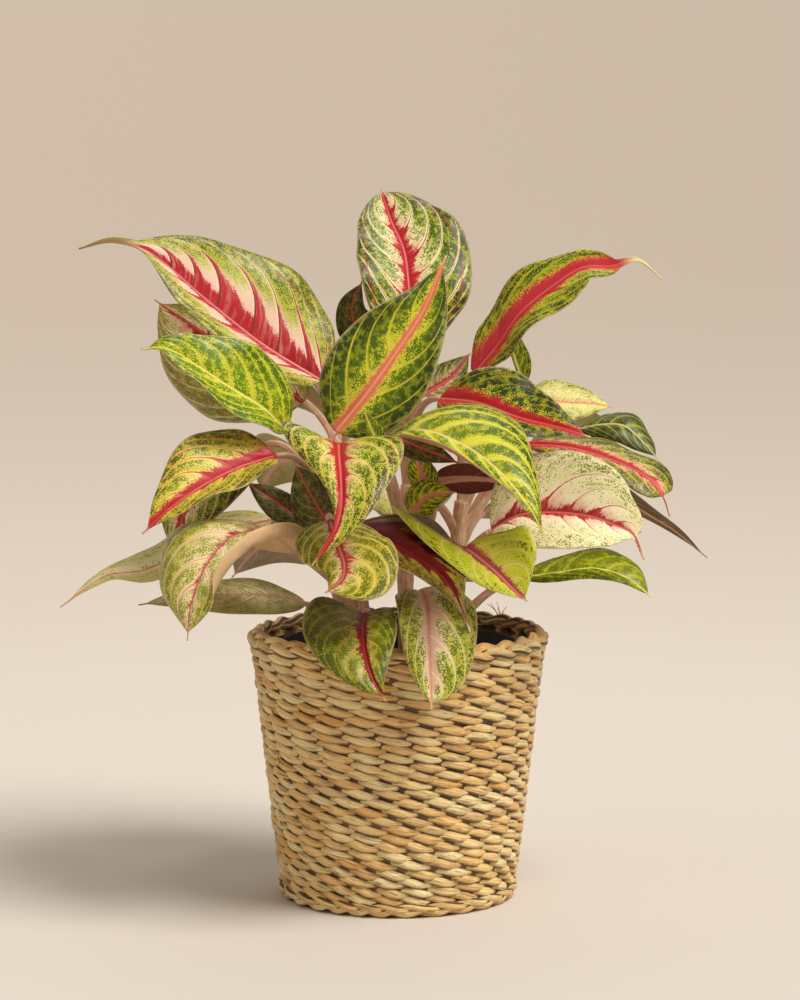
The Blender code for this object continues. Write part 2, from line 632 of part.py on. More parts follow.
def main():
    for thing in list(bpy.data.objects):
        bpy.data.objects.remove(thing)
    plant = bpy.data.collections.new("potted_chinese_evergreen")
    cutters = bpy.data.collections.new("cutters")
    helpers = bpy.data.collections.new("stalks")
    for collection in (plant, cutters, helpers):
        bpy.context.scene.collection.children.link(collection)
    materials = {name: new_material(name) for name in COLOURS}
    add_basket(plant, materials["straw"])
    border_height = BASKET_WALL_TOP + BORDER_RADIUS + CLEARANCE
    border_radius = BASKET_TOP_RADIUS - BASKET_WALL / 2
    add_border("basket_border", border_radius, border_height, BORDER_RADIUS, BORDER_LEAN, plant,
               materials["straw"])
    foot_radius = FOOT_DISC_RADIUS + CLEARANCE + FOOT_BORDER_RADIUS
    add_border("basket_foot", foot_radius, FOOT_BORDER_RADIUS, FOOT_BORDER_RADIUS, 0.0, plant,
               materials["straw"])
    add_pot(plant, materials["pot"])
    add_soil(plant, cutters, materials["soil"])
    for shoot in SHOOTS:
        add_shoot(shoot, plant, helpers, materials["stem"])
    for leaf in LEAVES:
        add_blade(leaf, plant, materials[leaf.colour])


main()
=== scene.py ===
"""Looks for the Chinese evergreen in its pot and basket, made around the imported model.

The frame is the CAD's: metres, +Z up, -Y the front, the origin under the middle of the basket.
"""
import math
import random
from collections import namedtuple
from types import SimpleNamespace

import bmesh
import bpy
import numpy as np
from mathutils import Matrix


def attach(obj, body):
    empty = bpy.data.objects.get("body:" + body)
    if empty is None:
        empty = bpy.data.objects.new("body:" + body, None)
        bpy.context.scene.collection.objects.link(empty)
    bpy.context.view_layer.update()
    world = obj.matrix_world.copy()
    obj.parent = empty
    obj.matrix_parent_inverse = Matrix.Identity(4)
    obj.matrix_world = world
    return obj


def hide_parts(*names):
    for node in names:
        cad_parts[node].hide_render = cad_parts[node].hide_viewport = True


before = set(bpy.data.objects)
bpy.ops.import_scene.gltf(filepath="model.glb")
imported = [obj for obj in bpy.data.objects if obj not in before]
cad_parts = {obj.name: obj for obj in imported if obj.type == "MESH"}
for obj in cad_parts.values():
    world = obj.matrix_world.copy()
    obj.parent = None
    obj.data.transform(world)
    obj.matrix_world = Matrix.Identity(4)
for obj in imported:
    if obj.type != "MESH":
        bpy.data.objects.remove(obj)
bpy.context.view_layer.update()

# Lengths below are in millimetres, and MM turns them into metres
MM = 0.001
MM_PER_CM = 10.0
UP = np.array([0.0, 0.0, 1.0])

# Stems, as the CAD has them
CLEARANCE = 0.3
SOIL_TOP = 186.0
HOLE_DEPTH = 36.0
CANE_RADIUS = 6.5
CANE_STEPS = 12
STALK_FOOT_RADIUS = 4.5
STALK_END_RADIUS = 2.4
STALK_END_LENGTH = 3.0
STALK_SET = 1.5
STALK_DROP = 30.0
STALK_DROP_PER_REACH = 0.7
LOWEST_STALK = 10.0
HIGHEST_STALK = 4.0
STALK_LEAN = 0.4
FOOT_HANDLE = 0.4
END_HANDLE = 0.3
STALK_STEPS = 20

# Blades, as the CAD has them
BLADE_THICKNESS = 0.9
BLADE_TIP_HALF = 0.8
BLADE_RISE = 0.62
TAIL_HALF = 0.055
TAIL_START = 0.8
TAIL_TAPER = 0.8
LOBE_PEAK = 0.12
SECTION_STEPS = 96
ROLL_START = 0.4
EDGE_CALM = (0.02, 0.2, 0.7, 0.92)
WAVE_LAG = 2.0
PATH_STEPS = 400
DIRECTION_STEP = 0.012
LEAST_SHARE = 1e-6

Shoot = namedtuple("Shoot", "name foot top")

SHOOTS = (
    Shoot("west", (-42, 2), (-52, -2, 290)),
    Shoot("south_west", (-24, -36), (-34, -44, 290)),
    Shoot("south", (8, -42), (4, -50, 300)),
    Shoot("south_east", (38, -22), (46, -32, 280)),
    Shoot("east", (38, 16), (52, 18, 320)),
    Shoot("north", (6, 38), (8, 52, 330)),
    Shoot("north_west", (-30, 30), (-40, 42, 330)),
)

# A blade's midrib runs from its foot to its tip, and left and right are its half widths
# as seen from above its upper face with the tip ahead. Face is the way its upper face looks:
# degrees round from the front towards +X, then degrees up. Fold lifts both halves off the
# midrib, curl bends them back down, drip is where the drip tip starts, broadest is where
# along the blade each half is broadest, and sweep is how far each half's lobe reaches back
# past the blade's foot. Roll turns the outer part of each half up and over, wave is the
# height of the edge's waves and their number, and tail is the half width of the drip tip.
Leaf = namedtuple(
    "Leaf",
    "name shoot colour midrib left right face fold curl drip broadest sweep roll wave tail",
    defaults=(16, 30, 0.96, (0.36, 0.36), (0, 0), (0, 0), (0, 2), TAIL_HALF),
)

LEAVES = (
    Leaf("leaf_01_upper_left", "north_west", "pink",
         ((-62, 20, 419), (-110, 15, 449), (-156, 10, 486), (-200, 5, 523), (-230, 5, 532), (-257, 5, 526)),
         46, 66, (30, 36), 26, 14, 0.80, (0.30, 0.32), (0, 10), wave=(2.5, 3), tail=0.13),
    Leaf("leaf_02_left_shaded", "north_west", "pink",
         ((-78, 60, 398), (-112, 55, 423), (-145, 50, 445), (-173, 45, 465), (-199, 40, 483)),
         72, 50, (-35, -10), 14, 30, 0.96, (0.42, 0.36)),
    Leaf("leaf_03_left_young", "west", "green",
         ((-89, -30, 382), (-107, -40, 401), (-134, -50, 419), (-159, -55, 436), (-183, -60, 450),
          (-202, -60, 449)),
         30, 42, (28, 37), 24, 10, wave=(1.5, 2)),
    Leaf("leaf_04_top", "north", "pink",
         ((16, 40, 441), (11, 50, 468), (9, 62, 495), (5, 78, 523), (-6, 92, 548), (-15, 100, 575)),
         44, 54, (14, 20), 20, 20, 0.96, (0.50, 0.50), wave=(2, 3)),
    Leaf("leaf_05_centre", "south_west", "lime",
         ((-49, -75, 385), (-23, -75, 417), (0, -70, 449), (21, -62, 481), (38, -50, 522)),
         44, 40, (-6, 6), 20, 10, 0.96, (0.33, 0.33), wave=(2, 2)),
    Leaf("leaf_06_upper_right", "east", "pink",
         ((62, 20, 425), (80, 18, 447), (99, 15, 474), (124, 15, 495), (150, 15, 511), (173, 12, 512),
          (193, 10, 517), (214, 8, 501)),
         31, 38, (-30, 44), 18, 10, 0.78, (0.34, 0.42), wave=(3, 3), tail=0.17),
    Leaf("leaf_07_right_spike", "east", "green",
         ((104, 60, 413), (97, 60, 433), (91, 60, 453), (91, 60, 471)),
         3, 13, (20, 0)),
    Leaf("leaf_08_right_dark", "north", "red",
         ((34, -10, 407), (64, -35, 405), (97, -50, 394), (128, -60, 387), (152, -65, 380)),
         38, 30, (12, 40), 20, 20, wave=(1.5, 3)),
    Leaf("leaf_09_centre_arching", "south", "lime",
         ((-8, -70, 383), (21, -95, 388), (52, -120, 378), (78, -140, 360), (101, -155, 333),
          (113, -160, 308)),
         62, 24, (20, 36), 12, 40, 0.96, (0.30, 0.30), (0, 0), (0, 110), (1, 2)),
    Leaf("leaf_10_front_hanging", "south_west", "pink",
         ((-46, -98, 378), (-45, -130, 371), (-43, -158, 354), (-43, -174, 335), (-48, -185, 318),
          (-65, -190, 293)),
         50, 50, (-5, 52), 30, 50, 0.96, (0.28, 0.15), (10, 24), wave=(2, 2)),
    Leaf("leaf_11_left_middle", "west", "pink",
         ((-97, -50, 364), (-125, -65, 356), (-151, -80, 344), (-176, -95, 328), (-199, -105, 308)),
         36, 42, (-28, 36), 30, 16, 0.96, (0.36, 0.34), wave=(2, 2)),
    Leaf("leaf_12_left_behind", "west", "pink",
         ((-109, -6, 369), (-136, -14, 357), (-158, -22, 338), (-173, -30, 312), (-180, -38, 284)),
         40, 34, (-30, 35), 16, 30, 0.96, (0.42, 0.42)),
    Leaf("leaf_13_far_left_low", "west", "red",
         ((-103, 20, 305), (-137, 15, 297), (-171, 5, 282), (-205, -5, 267), (-237, -10, 262),
          (-273, -15, 238)),
         18, 31, (-10, 55), 10, 30, 0.96, (0.32, 0.32), wave=(2, 3)),
    Leaf("leaf_14_left_low_arch", "south_west", "cream",
         ((-77, -70, 288), (-101, -95, 308), (-128, -120, 308), (-147, -140, 288), (-158, -155, 260),
          (-161, -160, 232)),
         42, 70, (-30, 35), 10, 50, 0.96, (0.42, 0.40), (0, 0), (170, 0), (2, 2)),
    Leaf("leaf_15_left_grey", "west", "olive",
         ((-74, -20, 242), (-107, -30, 250), (-142, -45, 252), (-173, -55, 251), (-206, -60, 246)),
         26, 26, (0, 62), 10, 30),
    Leaf("leaf_16_over_rim_left", "south_west", "green",
         ((-25, -100, 245), (-27, -131, 237), (-25, -157, 221), (-19, -173, 205), (-9, -181, 189)),
         28, 46, (-8, 44), 22, 30, 0.96, (0.36, 0.36), (6, 26)),
    Leaf("leaf_17_over_rim_middle", "south", "cream",
         ((12, -60, 256), (18, -94, 261), (23, -127, 251), (24, -143, 227), (25, -151, 201),
          (26, -158, 178)),
         38, 24, (5, 40), 16, 30, 0.96, (0.55, 0.45), wave=(1.5, 2)),
    Leaf("leaf_18_dark_red", "south_west", "red",
         ((-38, -80, 311), (-12, -104, 304), (13, -126, 293), (35, -150, 279), (47, -171, 262),
          (55, -182, 242)),
         48, 26, (22, 42), 16, 30, 0.96, (0.25, 0.30), wave=(1.5, 2)),
    Leaf("leaf_19_front_lime", "south_east", "lime",
         ((52, -114, 298), (54, -124, 298), (63, -132, 292), (76, -141, 282), (87, -152, 272),
          (98, -162, 263)),
         42, 26, (10, 25), 26, 10, 0.96, (0.40, 0.40), (-20, 72)),
    Leaf("leaf_20_right_cream", "south_east", "cream",
         ((74, -60, 306), (96, -70, 319), (123, -80, 322), (150, -90, 320), (169, -95, 314),
          (183, -98, 307), (192, -100, 287)),
         50, 42, (0, 30), 24, 10, 0.88, (0.40, 0.40), wave=(2.5, 2)),
    Leaf("leaf_21_right_pale", "east", "cream",
         ((109, 60, 404), (134, 65, 398), (159, 70, 396), (179, 72, 393)),
         22, 20, (0, 40)),
    Leaf("leaf_22_right_drooping", "east", "green",
         ((149, 40, 378), (168, 35, 382), (185, 30, 381), (200, 25, 368), (212, 20, 355)),
         28, 20, (20, 50), 10, 50, 0.96, (0.40, 0.40)),
    Leaf("leaf_23_right_hooked", "east", "pink",
         ((102, 10, 368), (139, 0, 366), (172, -10, 357), (198, -20, 345), (212, -28, 330),
          (218, -30, 313)),
         30, 24, (20, 60), 10, 30, 0.88, (0.60, 0.60), wave=(1.5, 3)),
    Leaf("leaf_24_far_right_narrow", "east", "olive",
         ((132, 30, 356), (165, 25, 338), (197, 20, 315), (226, 15, 297), (252, 10, 275)),
         20, 20, (170, 66)),
    Leaf("leaf_25_right_low", "south_east", "green",
         ((98, -25, 263), (130, -35, 269), (157, -42, 273), (183, -50, 266), (202, -55, 251)),
         48, 12, (8, 60), 10, 50, 0.96, (0.44, 0.44)),
    Leaf("leaf_26_curled_scrap", "south", "green",
         ((-14, -88, 374), (-20, -92, 388), (-26, -93, 402)),
         6, 8, (0, 0)),
    Leaf("leaf_27_front_low", "south_west", "lime",
         ((-53, -100, 318), (-46, -125, 301), (-41, -140, 288), (-43, -152, 278), (-55, -165, 270)),
         42, 34, (0, 35), 20, 30, 0.96, (0.62, 0.36)),
    Leaf("leaf_28_left_inner", "west", "olive",
         ((-77, -30, 310), (-98, -30, 325), (-122, -28, 341)),
         14, 12, (-10, 30)),
    Leaf("leaf_29_inner_dark", "south_west", "olive",
         ((-50, -45, 300), (-62, -50, 320), (-72, -52, 338), (-82, -52, 358)),
         22, 24, (0, 20)),
    Leaf("leaf_30_inner_red", "east", "red",
         ((30, 0, 338), (52, -8, 341), (74, -14, 341), (96, -18, 336)),
         18, 18, (180, 40)),
    Leaf("leaf_31_back_brown", "north", "olive",
         ((-25, 110, 436), (-39, 115, 470), (-30, 118, 496)),
         16, 16, (-10, 20)),
    Leaf("leaf_32_inner_glossy", "north", "pink",
         ((21, 30, 407), (42, 28, 420), (59, 25, 441)),
         16, 14, (10, 30)),
    Leaf("leaf_33_inner_lime", "south", "lime",
         ((10, -30, 314), (24, -32, 329), (46, -35, 333)),
         16, 14, (0, 20)),
    Leaf("leaf_34_inner_upright", "north", "lime",
         ((26, -14, 330), (18, -12, 349), (11, -10, 367)),
         12, 12, (0, 10)),
    Leaf("leaf_35_inner_narrow", "south", "olive",
         ((-10, -45, 384), (13, -50, 372), (33, -52, 364), (49, -55, 358)),
         12, 12, (10, 20)),
    Leaf("leaf_36_back_left_high", "north_west", "pink",
         ((-60, 90, 390), (-92, 115, 411), (-125, 140, 418), (-158, 160, 406)),
         38, 38, (150, 45)),
    Leaf("leaf_37_back_middle", "north", "green",
         ((0, 100, 395), (0, 135, 415), (-2, 170, 420), (-4, 205, 400)),
         40, 40, (180, 45)),
    Leaf("leaf_38_back_right_high", "east", "pink",
         ((64, 85, 372), (80, 115, 383), (95, 145, 380), (108, 175, 362)),
         38, 38, (-150, 45)),
    Leaf("leaf_39_back_right_low", "east", "lime",
         ((70, 70, 306), (95, 105, 318), (118, 140, 308), (135, 172, 279)),
         38, 38, (-145, 45)),
    Leaf("leaf_40_back_left_middle", "north_west", "lime",
         ((-60, 75, 330), (-82, 110, 345), (-103, 145, 338), (-120, 178, 310)),
         38, 38, (150, 45)),
    Leaf("leaf_41_back_low", "north", "cream",
         ((4, 85, 300), (6, 125, 312), (8, 165, 300), (10, 200, 262)),
         40, 40, (180, 50)),
    Leaf("leaf_42_back_left_low", "north_west", "green",
         ((-62, 62, 268), (-90, 90, 278), (-118, 115, 270), (-142, 138, 242)),
         34, 34, (140, 50)),
    Leaf("leaf_43_back_upper", "north", "pink",
         ((6, 104, 428), (6, 132, 456), (6, 162, 474), (6, 192, 474)),
         30, 30, (180, 45)),
    Leaf("leaf_44_back_left_upper", "north_west", "lime",
         ((-78, 92, 428), (-104, 112, 457), (-132, 130, 474), (-162, 146, 472)),
         32, 32, (140, 45)),
    Leaf("leaf_45_back_right_middle", "east", "cream",
         ((104, 78, 354), (132, 98, 367), (160, 116, 361), (184, 130, 337)),
         34, 34, (-130, 45)),
    Leaf("leaf_46_back_right_lowest", "east", "green",
         ((50, 68, 252), (70, 94, 261), (90, 118, 253), (106, 140, 227)),
         34, 34, (-145, 50)),
)


def srgb(red, green, blue):
    """A colour as the eye reads it, 0 to 255, in the shader's own linear values."""
    def linear(value):
        value /= 255.0
        return value / 12.92 if value <= 0.04045 else ((value + 0.055) / 1.055) ** 2.4
    return (linear(red), linear(green), linear(blue), 1.0)


def unit(vector):
    """The same way, 1 long."""
    return vector / np.linalg.norm(vector, axis=-1, keepdims=True)


def smooth_step(low, high, value):
    """0 below low, 1 above high and smooth between."""
    share = np.clip((value - low) / (high - low), 0.0, 1.0)
    return share * share * (3.0 - 2.0 * share)


def rise_and_fall(value, low, full, fading, gone):
    """0 below low, 1 from full to fading, and 0 again past gone."""
    return smooth_step(low, full, value) * (1.0 - smooth_step(fading, gone, value))


def distances(points):
    """How far along its route each point is."""
    return np.concatenate([[0.0], np.cumsum(np.linalg.norm(np.diff(points, axis=0), axis=1))])


def full_turn(count):
    """Even angles all round."""
    return np.linspace(0.0, 2 * math.pi, count, endpoint=False)


def around(turns):
    """The way out from the axis at each angle, from the front towards +X."""
    return np.stack([np.sin(turns), -np.cos(turns), np.zeros_like(turns)], axis=-1)


def turned_rings(profile, columns):
    """A profile turned about the Z axis, as rings."""
    profile = np.asarray(profile, float)
    return around(full_turn(columns))[None, :, :] * profile[:, None, 0, None] + UP * profile[:, None, 1, None]


def smooth_path(points, count=PATH_STEPS):
    """Points along a smooth curve through the given ones."""
    points = np.asarray(points, float)
    knots = distances(points)
    slopes = np.empty_like(points)
    slopes[0] = (points[1] - points[0]) / (knots[1] - knots[0])
    slopes[-1] = (points[-1] - points[-2]) / (knots[-1] - knots[-2])
    slopes[1:-1] = (points[2:] - points[:-2]) / (knots[2:] - knots[:-2])[:, None]
    along = np.linspace(0.0, knots[-1], count)
    span = np.clip(np.searchsorted(knots, along, side="right") - 1, 0, len(points) - 2)
    reach = (knots[span + 1] - knots[span])[:, None]
    x = (along - knots[span])[:, None] / reach
    start = (2 * x ** 3 - 3 * x ** 2 + 1) * points[span] + (x ** 3 - 2 * x ** 2 + x) * reach * slopes[span]
    end = (3 * x ** 2 - 2 * x ** 3) * points[span + 1] + (x ** 3 - x ** 2) * reach * slopes[span + 1]
    return start + end


class Midrib:
    """A blade's midrib, read by the share of its length."""

    def __init__(self, points):
        self.path = smooth_path(points)
        self.distance = distances(self.path)
        self.length = self.distance[-1]
        self.chord = unit(self.path[-1] - self.path[0])

    def place(self, share):
        """The points at these shares of the length."""
        reach = np.clip(share, 0.0, 1.0) * self.length
        return np.stack([np.interp(reach, self.distance, self.path[:, k]) for k in range(3)], axis=-1)

    def direction(self, share):
        """The way the midrib runs there."""
        return unit(self.place(share + DIRECTION_STEP) - self.place(share - DIRECTION_STEP))


def half_shape(share, broadest, drip, tail):
    """The half width at each share of the length, as a part of the greatest one."""
    body = np.clip(share / drip, LEAST_SHARE, 1.0)
    peak = broadest / drip
    fall = BLADE_RISE * (1.0 - peak) / peak
    swell = body ** BLADE_RISE * (1.0 - body) ** fall / (peak ** BLADE_RISE * (1.0 - peak) ** fall)
    left_over = np.clip((1.0 - share) / (1.0 - TAIL_START * drip), 0.0, 1.0)
    return np.hypot(swell, tail * left_over ** TAIL_TAPER)


def blade_axes(leaf, midrib, share):
    """The ways ahead, to the right and up off the blade at these shares of its midrib."""
    turn, lift = (math.radians(angle) for angle in leaf.face)
    face = np.array([math.sin(turn) * math.cos(lift), -math.cos(turn) * math.cos(lift), math.sin(lift)])
    ahead = midrib.direction(share)
    sideways = np.cross(midrib.chord, face)
    sideways = unit(sideways - (ahead @ sideways)[..., None] * ahead)
    return ahead, sideways, np.cross(sideways, ahead)


def half_section(leaf, shares, right, reach):
    """How far out and up one half is at each share and reach, as parts of its half width."""
    calm = rise_and_fall(shares, *EDGE_CALM)
    edges = np.linspace(0.0, 1.0, SECTION_STEPS + 1)
    middle = (edges[1:] + edges[:-1])[None, :] / 2
    roll = leaf.roll[right] * calm[:, None] * smooth_step(ROLL_START, 1.0, middle)
    angle = np.radians(leaf.fold - leaf.curl * middle + roll)
    totals = []
    for slope in (np.cos(angle), np.sin(angle)):
        total = np.concatenate([np.zeros((len(shares), 1)), np.cumsum(slope, axis=1) / SECTION_STEPS], axis=1)
        totals.append(np.stack([np.interp(reach, edges, row) for row in total]))
    wave = np.sin(2 * math.pi * leaf.wave[1] * shares + WAVE_LAG * right) * leaf.wave[0] * calm
    return totals[0], totals[1], wave[:, None] * reach[None, :] ** 2


def blade_surface(leaf, midrib, shares, across):
    """The upper face as the CAD has it: points and half widths, a row for each share."""
    _, sideways, up = blade_axes(leaf, midrib, shares)
    reach = np.abs(across)
    is_right = (across > 0)[None, :]
    halves = (leaf.left, leaf.right)
    widths, outs, lifts, waves = [], [], [], []
    for right in (0, 1):
        shape = half_shape(shares, leaf.broadest[right], leaf.drip, leaf.tail)
        widths.append(np.maximum(halves[right] * shape, BLADE_TIP_HALF)[:, None])
        out, lift, wave = half_section(leaf, shares, right, reach)
        outs.append(out)
        lifts.append(lift)
        waves.append(wave)
    pairs = (widths, outs, lifts, waves)
    width, out, lift, wave = (np.where(is_right, pair[1], pair[0]) for pair in pairs)
    peak = shares / LOBE_PEAK * np.exp(1.0 - shares / LOBE_PEAK)
    lobe = np.where(is_right, leaf.sweep[1], leaf.sweep[0]) * reach[None, :] ** 2 * peak[:, None]
    aside = (np.sign(across)[None, :] * width * out)[..., None] * sideways[:, None, :]
    raised = (width * lift + wave)[..., None] * up[:, None, :]
    points = midrib.place(shares)[:, None, :] + aside + raised - lobe[..., None] * midrib.chord
    return points, width


# Relief of the blades: they bulge between their veins, and the midrib is a groove above
# and a rib below. A large blade has the finer grid.
LARGE_BLADE = 95.0
LARGE_BLADE_CELLS = (84, 36)
SMALL_BLADE_CELLS = (40, 20)
GRID_CLOSING = 1.35
QUILT_ROUNDNESS = 0.8
QUILT_HALF = 45.0
QUILT_REACH = (0.03, 0.22, 0.72, 1.0)
QUILT_START = 0.1
QUILT_END = 0.2
GROOVE_DEPTH = 0.7
GROOVE_HALF = 1.7
GROOVE_FADE = 0.6
RIB_DEPTH = 2.2
RIB_HALF = 2.0
RIB_TAPER = 0.8
RIB_FOOT = 0.4
RIB_START = 0.03
EDGE_THINNING = 0.45
EDGE_START = 0.8
WAVE_HEIGHT = 0.9
WAVES = 2.6
WAVE_SIDE_SHIFT = 1.7
WAVE_SPAN = (0.0, 0.15, 0.75, 0.95)
VEIN_BEND = 2.6
VEIN_WOBBLES = ((0.018, 9.4, 1.0), (0.010, 23.0, 2.0))
VEIN_SIDE_SHIFT = 0.37
VEIN_COUNT_START = 20.0


def vein_phase(look, shares, reach, side, seed):
    """Counts the side veins from the blade's foot, so a whole number lies on a vein."""
    forward = shares - look["lean"] * reach - look["curve"] * reach ** VEIN_BEND
    wobble = sum(size * np.sin(rate * forward + start * seed) for size, rate, start in VEIN_WOBBLES)
    return look["veins"] * (forward + wobble) + VEIN_SIDE_SHIFT * side + seed + VEIN_COUNT_START


def grid_normals(points):
    """A grid's normals, from the points on both sides of each."""
    along = np.gradient(points, axis=0)
    over = np.gradient(points, axis=1)
    normals = np.cross(over, along)
    return normals / np.maximum(np.linalg.norm(normals, axis=-1, keepdims=True), LEAST_SHARE)


def blade_faces(rows, columns):
    """Quads of the upper grid, the lower grid and the edge, each a list of four corners."""
    corner = np.arange(rows * columns).reshape(rows, columns)
    quads = np.stack([corner[:-1, :-1], corner[:-1, 1:], corner[1:, 1:], corner[1:, :-1]], axis=-1)
    upper = quads.reshape(-1, 4)
    lower = upper[:, ::-1] + rows * columns
    ring = np.concatenate([corner[0, :-1], corner[:-1, -1], corner[-1, :0:-1], corner[:0:-1, 0]])
    following = np.roll(ring, -1)
    edge = np.stack([ring, ring + rows * columns, following + rows * columns, following], axis=-1)
    return upper, lower, edge


def add_object(name, data, collection=None):
    """An object with this data, in the scene or a collection."""
    piece = bpy.data.objects.new(name, data)
    (collection or bpy.context.scene.collection).objects.link(piece)
    return piece


def add_mesh(name, points, faces, collection=None):
    """A mesh object from points in millimetres."""
    mesh = bpy.data.meshes.new(name)
    mesh.from_pydata((np.asarray(points) * MM).tolist(), [], [list(face) for face in faces])
    mesh.validate()
    return add_object(name, mesh, collection)


def add_uv(mesh, name, corners):
    """A UV map from one pair of values for each face corner."""
    layer = mesh.uv_layers.new(name=name)
    layer.data.foreach_set("uv", np.asarray(corners, np.float32).ravel())


def blade_relief(leaf, look, seed, share, reach, aside, sides):
    """Heights of a blade's upper and lower faces over its smooth form."""
    turn = vein_phase(look, share, reach, sides, seed) % 1.0
    calm = rise_and_fall(reach, *QUILT_REACH)
    calm *= rise_and_fall(share, 0.0, QUILT_START, leaf.drip - QUILT_END, leaf.drip)
    scale = np.minimum(max(leaf.left, leaf.right) / QUILT_HALF, 1.0)
    quilt = look["quilt"] * scale * calm * (1.0 - (2.0 * turn - 1.0) ** 2) ** QUILT_ROUNDNESS
    groove = GROOVE_DEPTH * np.exp(-(aside / GROOVE_HALF) ** 2) * (1.0 - GROOVE_FADE * share)
    lag = seed + WAVE_SIDE_SHIFT * sides
    wave = WAVE_HEIGHT * scale * reach ** 3 * np.sin(2 * math.pi * WAVES * share + lag)
    wave *= rise_and_fall(share, *WAVE_SPAN)
    rib = RIB_DEPTH * (1.0 - share) ** RIB_TAPER * np.exp(-(aside / RIB_HALF) ** 2)
    rib *= smooth_step(0.0, RIB_START, share) * (1.0 - RIB_FOOT) + RIB_FOOT
    thickness = BLADE_THICKNESS * (1.0 - EDGE_THINNING * smooth_step(EDGE_START, 1.0, reach))
    return quilt - groove + wave, quilt + wave - thickness - rib


def add_blade(leaf, look, seed):
    """A leaf blade as the CAD has it, finer, with its veins, its groove and its rib."""
    midrib = Midrib(leaf.midrib)
    cells = LARGE_BLADE_CELLS if midrib.length > LARGE_BLADE else SMALL_BLADE_CELLS
    shares = np.linspace(0.0, 1.0, cells[0] + 1)
    spread = np.linspace(-1.0, 1.0, cells[1] + 1)
    across = np.sign(spread) * np.abs(spread) ** GRID_CLOSING
    points, width = blade_surface(leaf, midrib, shares, across)
    normals = grid_normals(points)
    share = shares[:, None] * np.ones_like(width)
    reach = np.abs(across)[None, :] * np.ones_like(width)
    sides = np.where(across[None, :] > 0, 1.0, 0.0) * np.ones_like(width)
    aside = across[None, :] * width
    heights = blade_relief(leaf, look, seed, share, reach, aside, sides)
    faces_points = np.concatenate([points + normals * height[..., None] for height in heights])

    rows, columns = width.shape
    upper, lower, edge = blade_faces(rows, columns)
    piece = add_mesh(leaf.name + "_blade", faces_points.reshape(-1, 3), np.concatenate([upper, lower, edge]))
    mesh = piece.data
    vertex = np.empty(len(mesh.loops), int)
    mesh.loops.foreach_get("vertex_index", vertex)
    corner = vertex % (rows * columns)
    face_middle = np.repeat(across[(corner % columns).reshape(-1, 4)].mean(axis=1), 4)
    side = np.where(face_middle > 0, 1.0, 0.0)
    flat_share, flat_reach = share.ravel()[corner], reach.ravel()[corner]
    spot = np.stack([flat_share * midrib.length, aside.ravel()[corner]], axis=-1) / MM_PER_CM
    phase = vein_phase(look, flat_share, flat_reach, side, seed)
    add_uv(mesh, "leaf", np.stack([flat_share, across[corner % columns]], axis=-1))
    add_uv(mesh, "spot", spot)
    add_uv(mesh, "vein", np.stack([phase, flat_reach], axis=-1))
    slots = np.concatenate([np.zeros(len(upper)), np.ones(len(lower)), np.zeros(len(edge))]).astype(np.int32)
    mesh.polygons.foreach_set("material_index", slots)
    mesh.shade_smooth()
    return piece


class Value:
    """A node's output. Sums, differences and products of values are nodes too."""

    def __init__(self, nodes, socket):
        self.nodes, self.socket = nodes, socket

    def __add__(self, other):
        return self.nodes.math("ADD", self, other)

    def __radd__(self, other):
        return self.nodes.math("ADD", other, self)

    def __sub__(self, other):
        return self.nodes.math("SUBTRACT", self, other)

    def __rsub__(self, other):
        return self.nodes.math("SUBTRACT", other, self)

    def __mul__(self, other):
        return self.nodes.math("MULTIPLY", self, other)


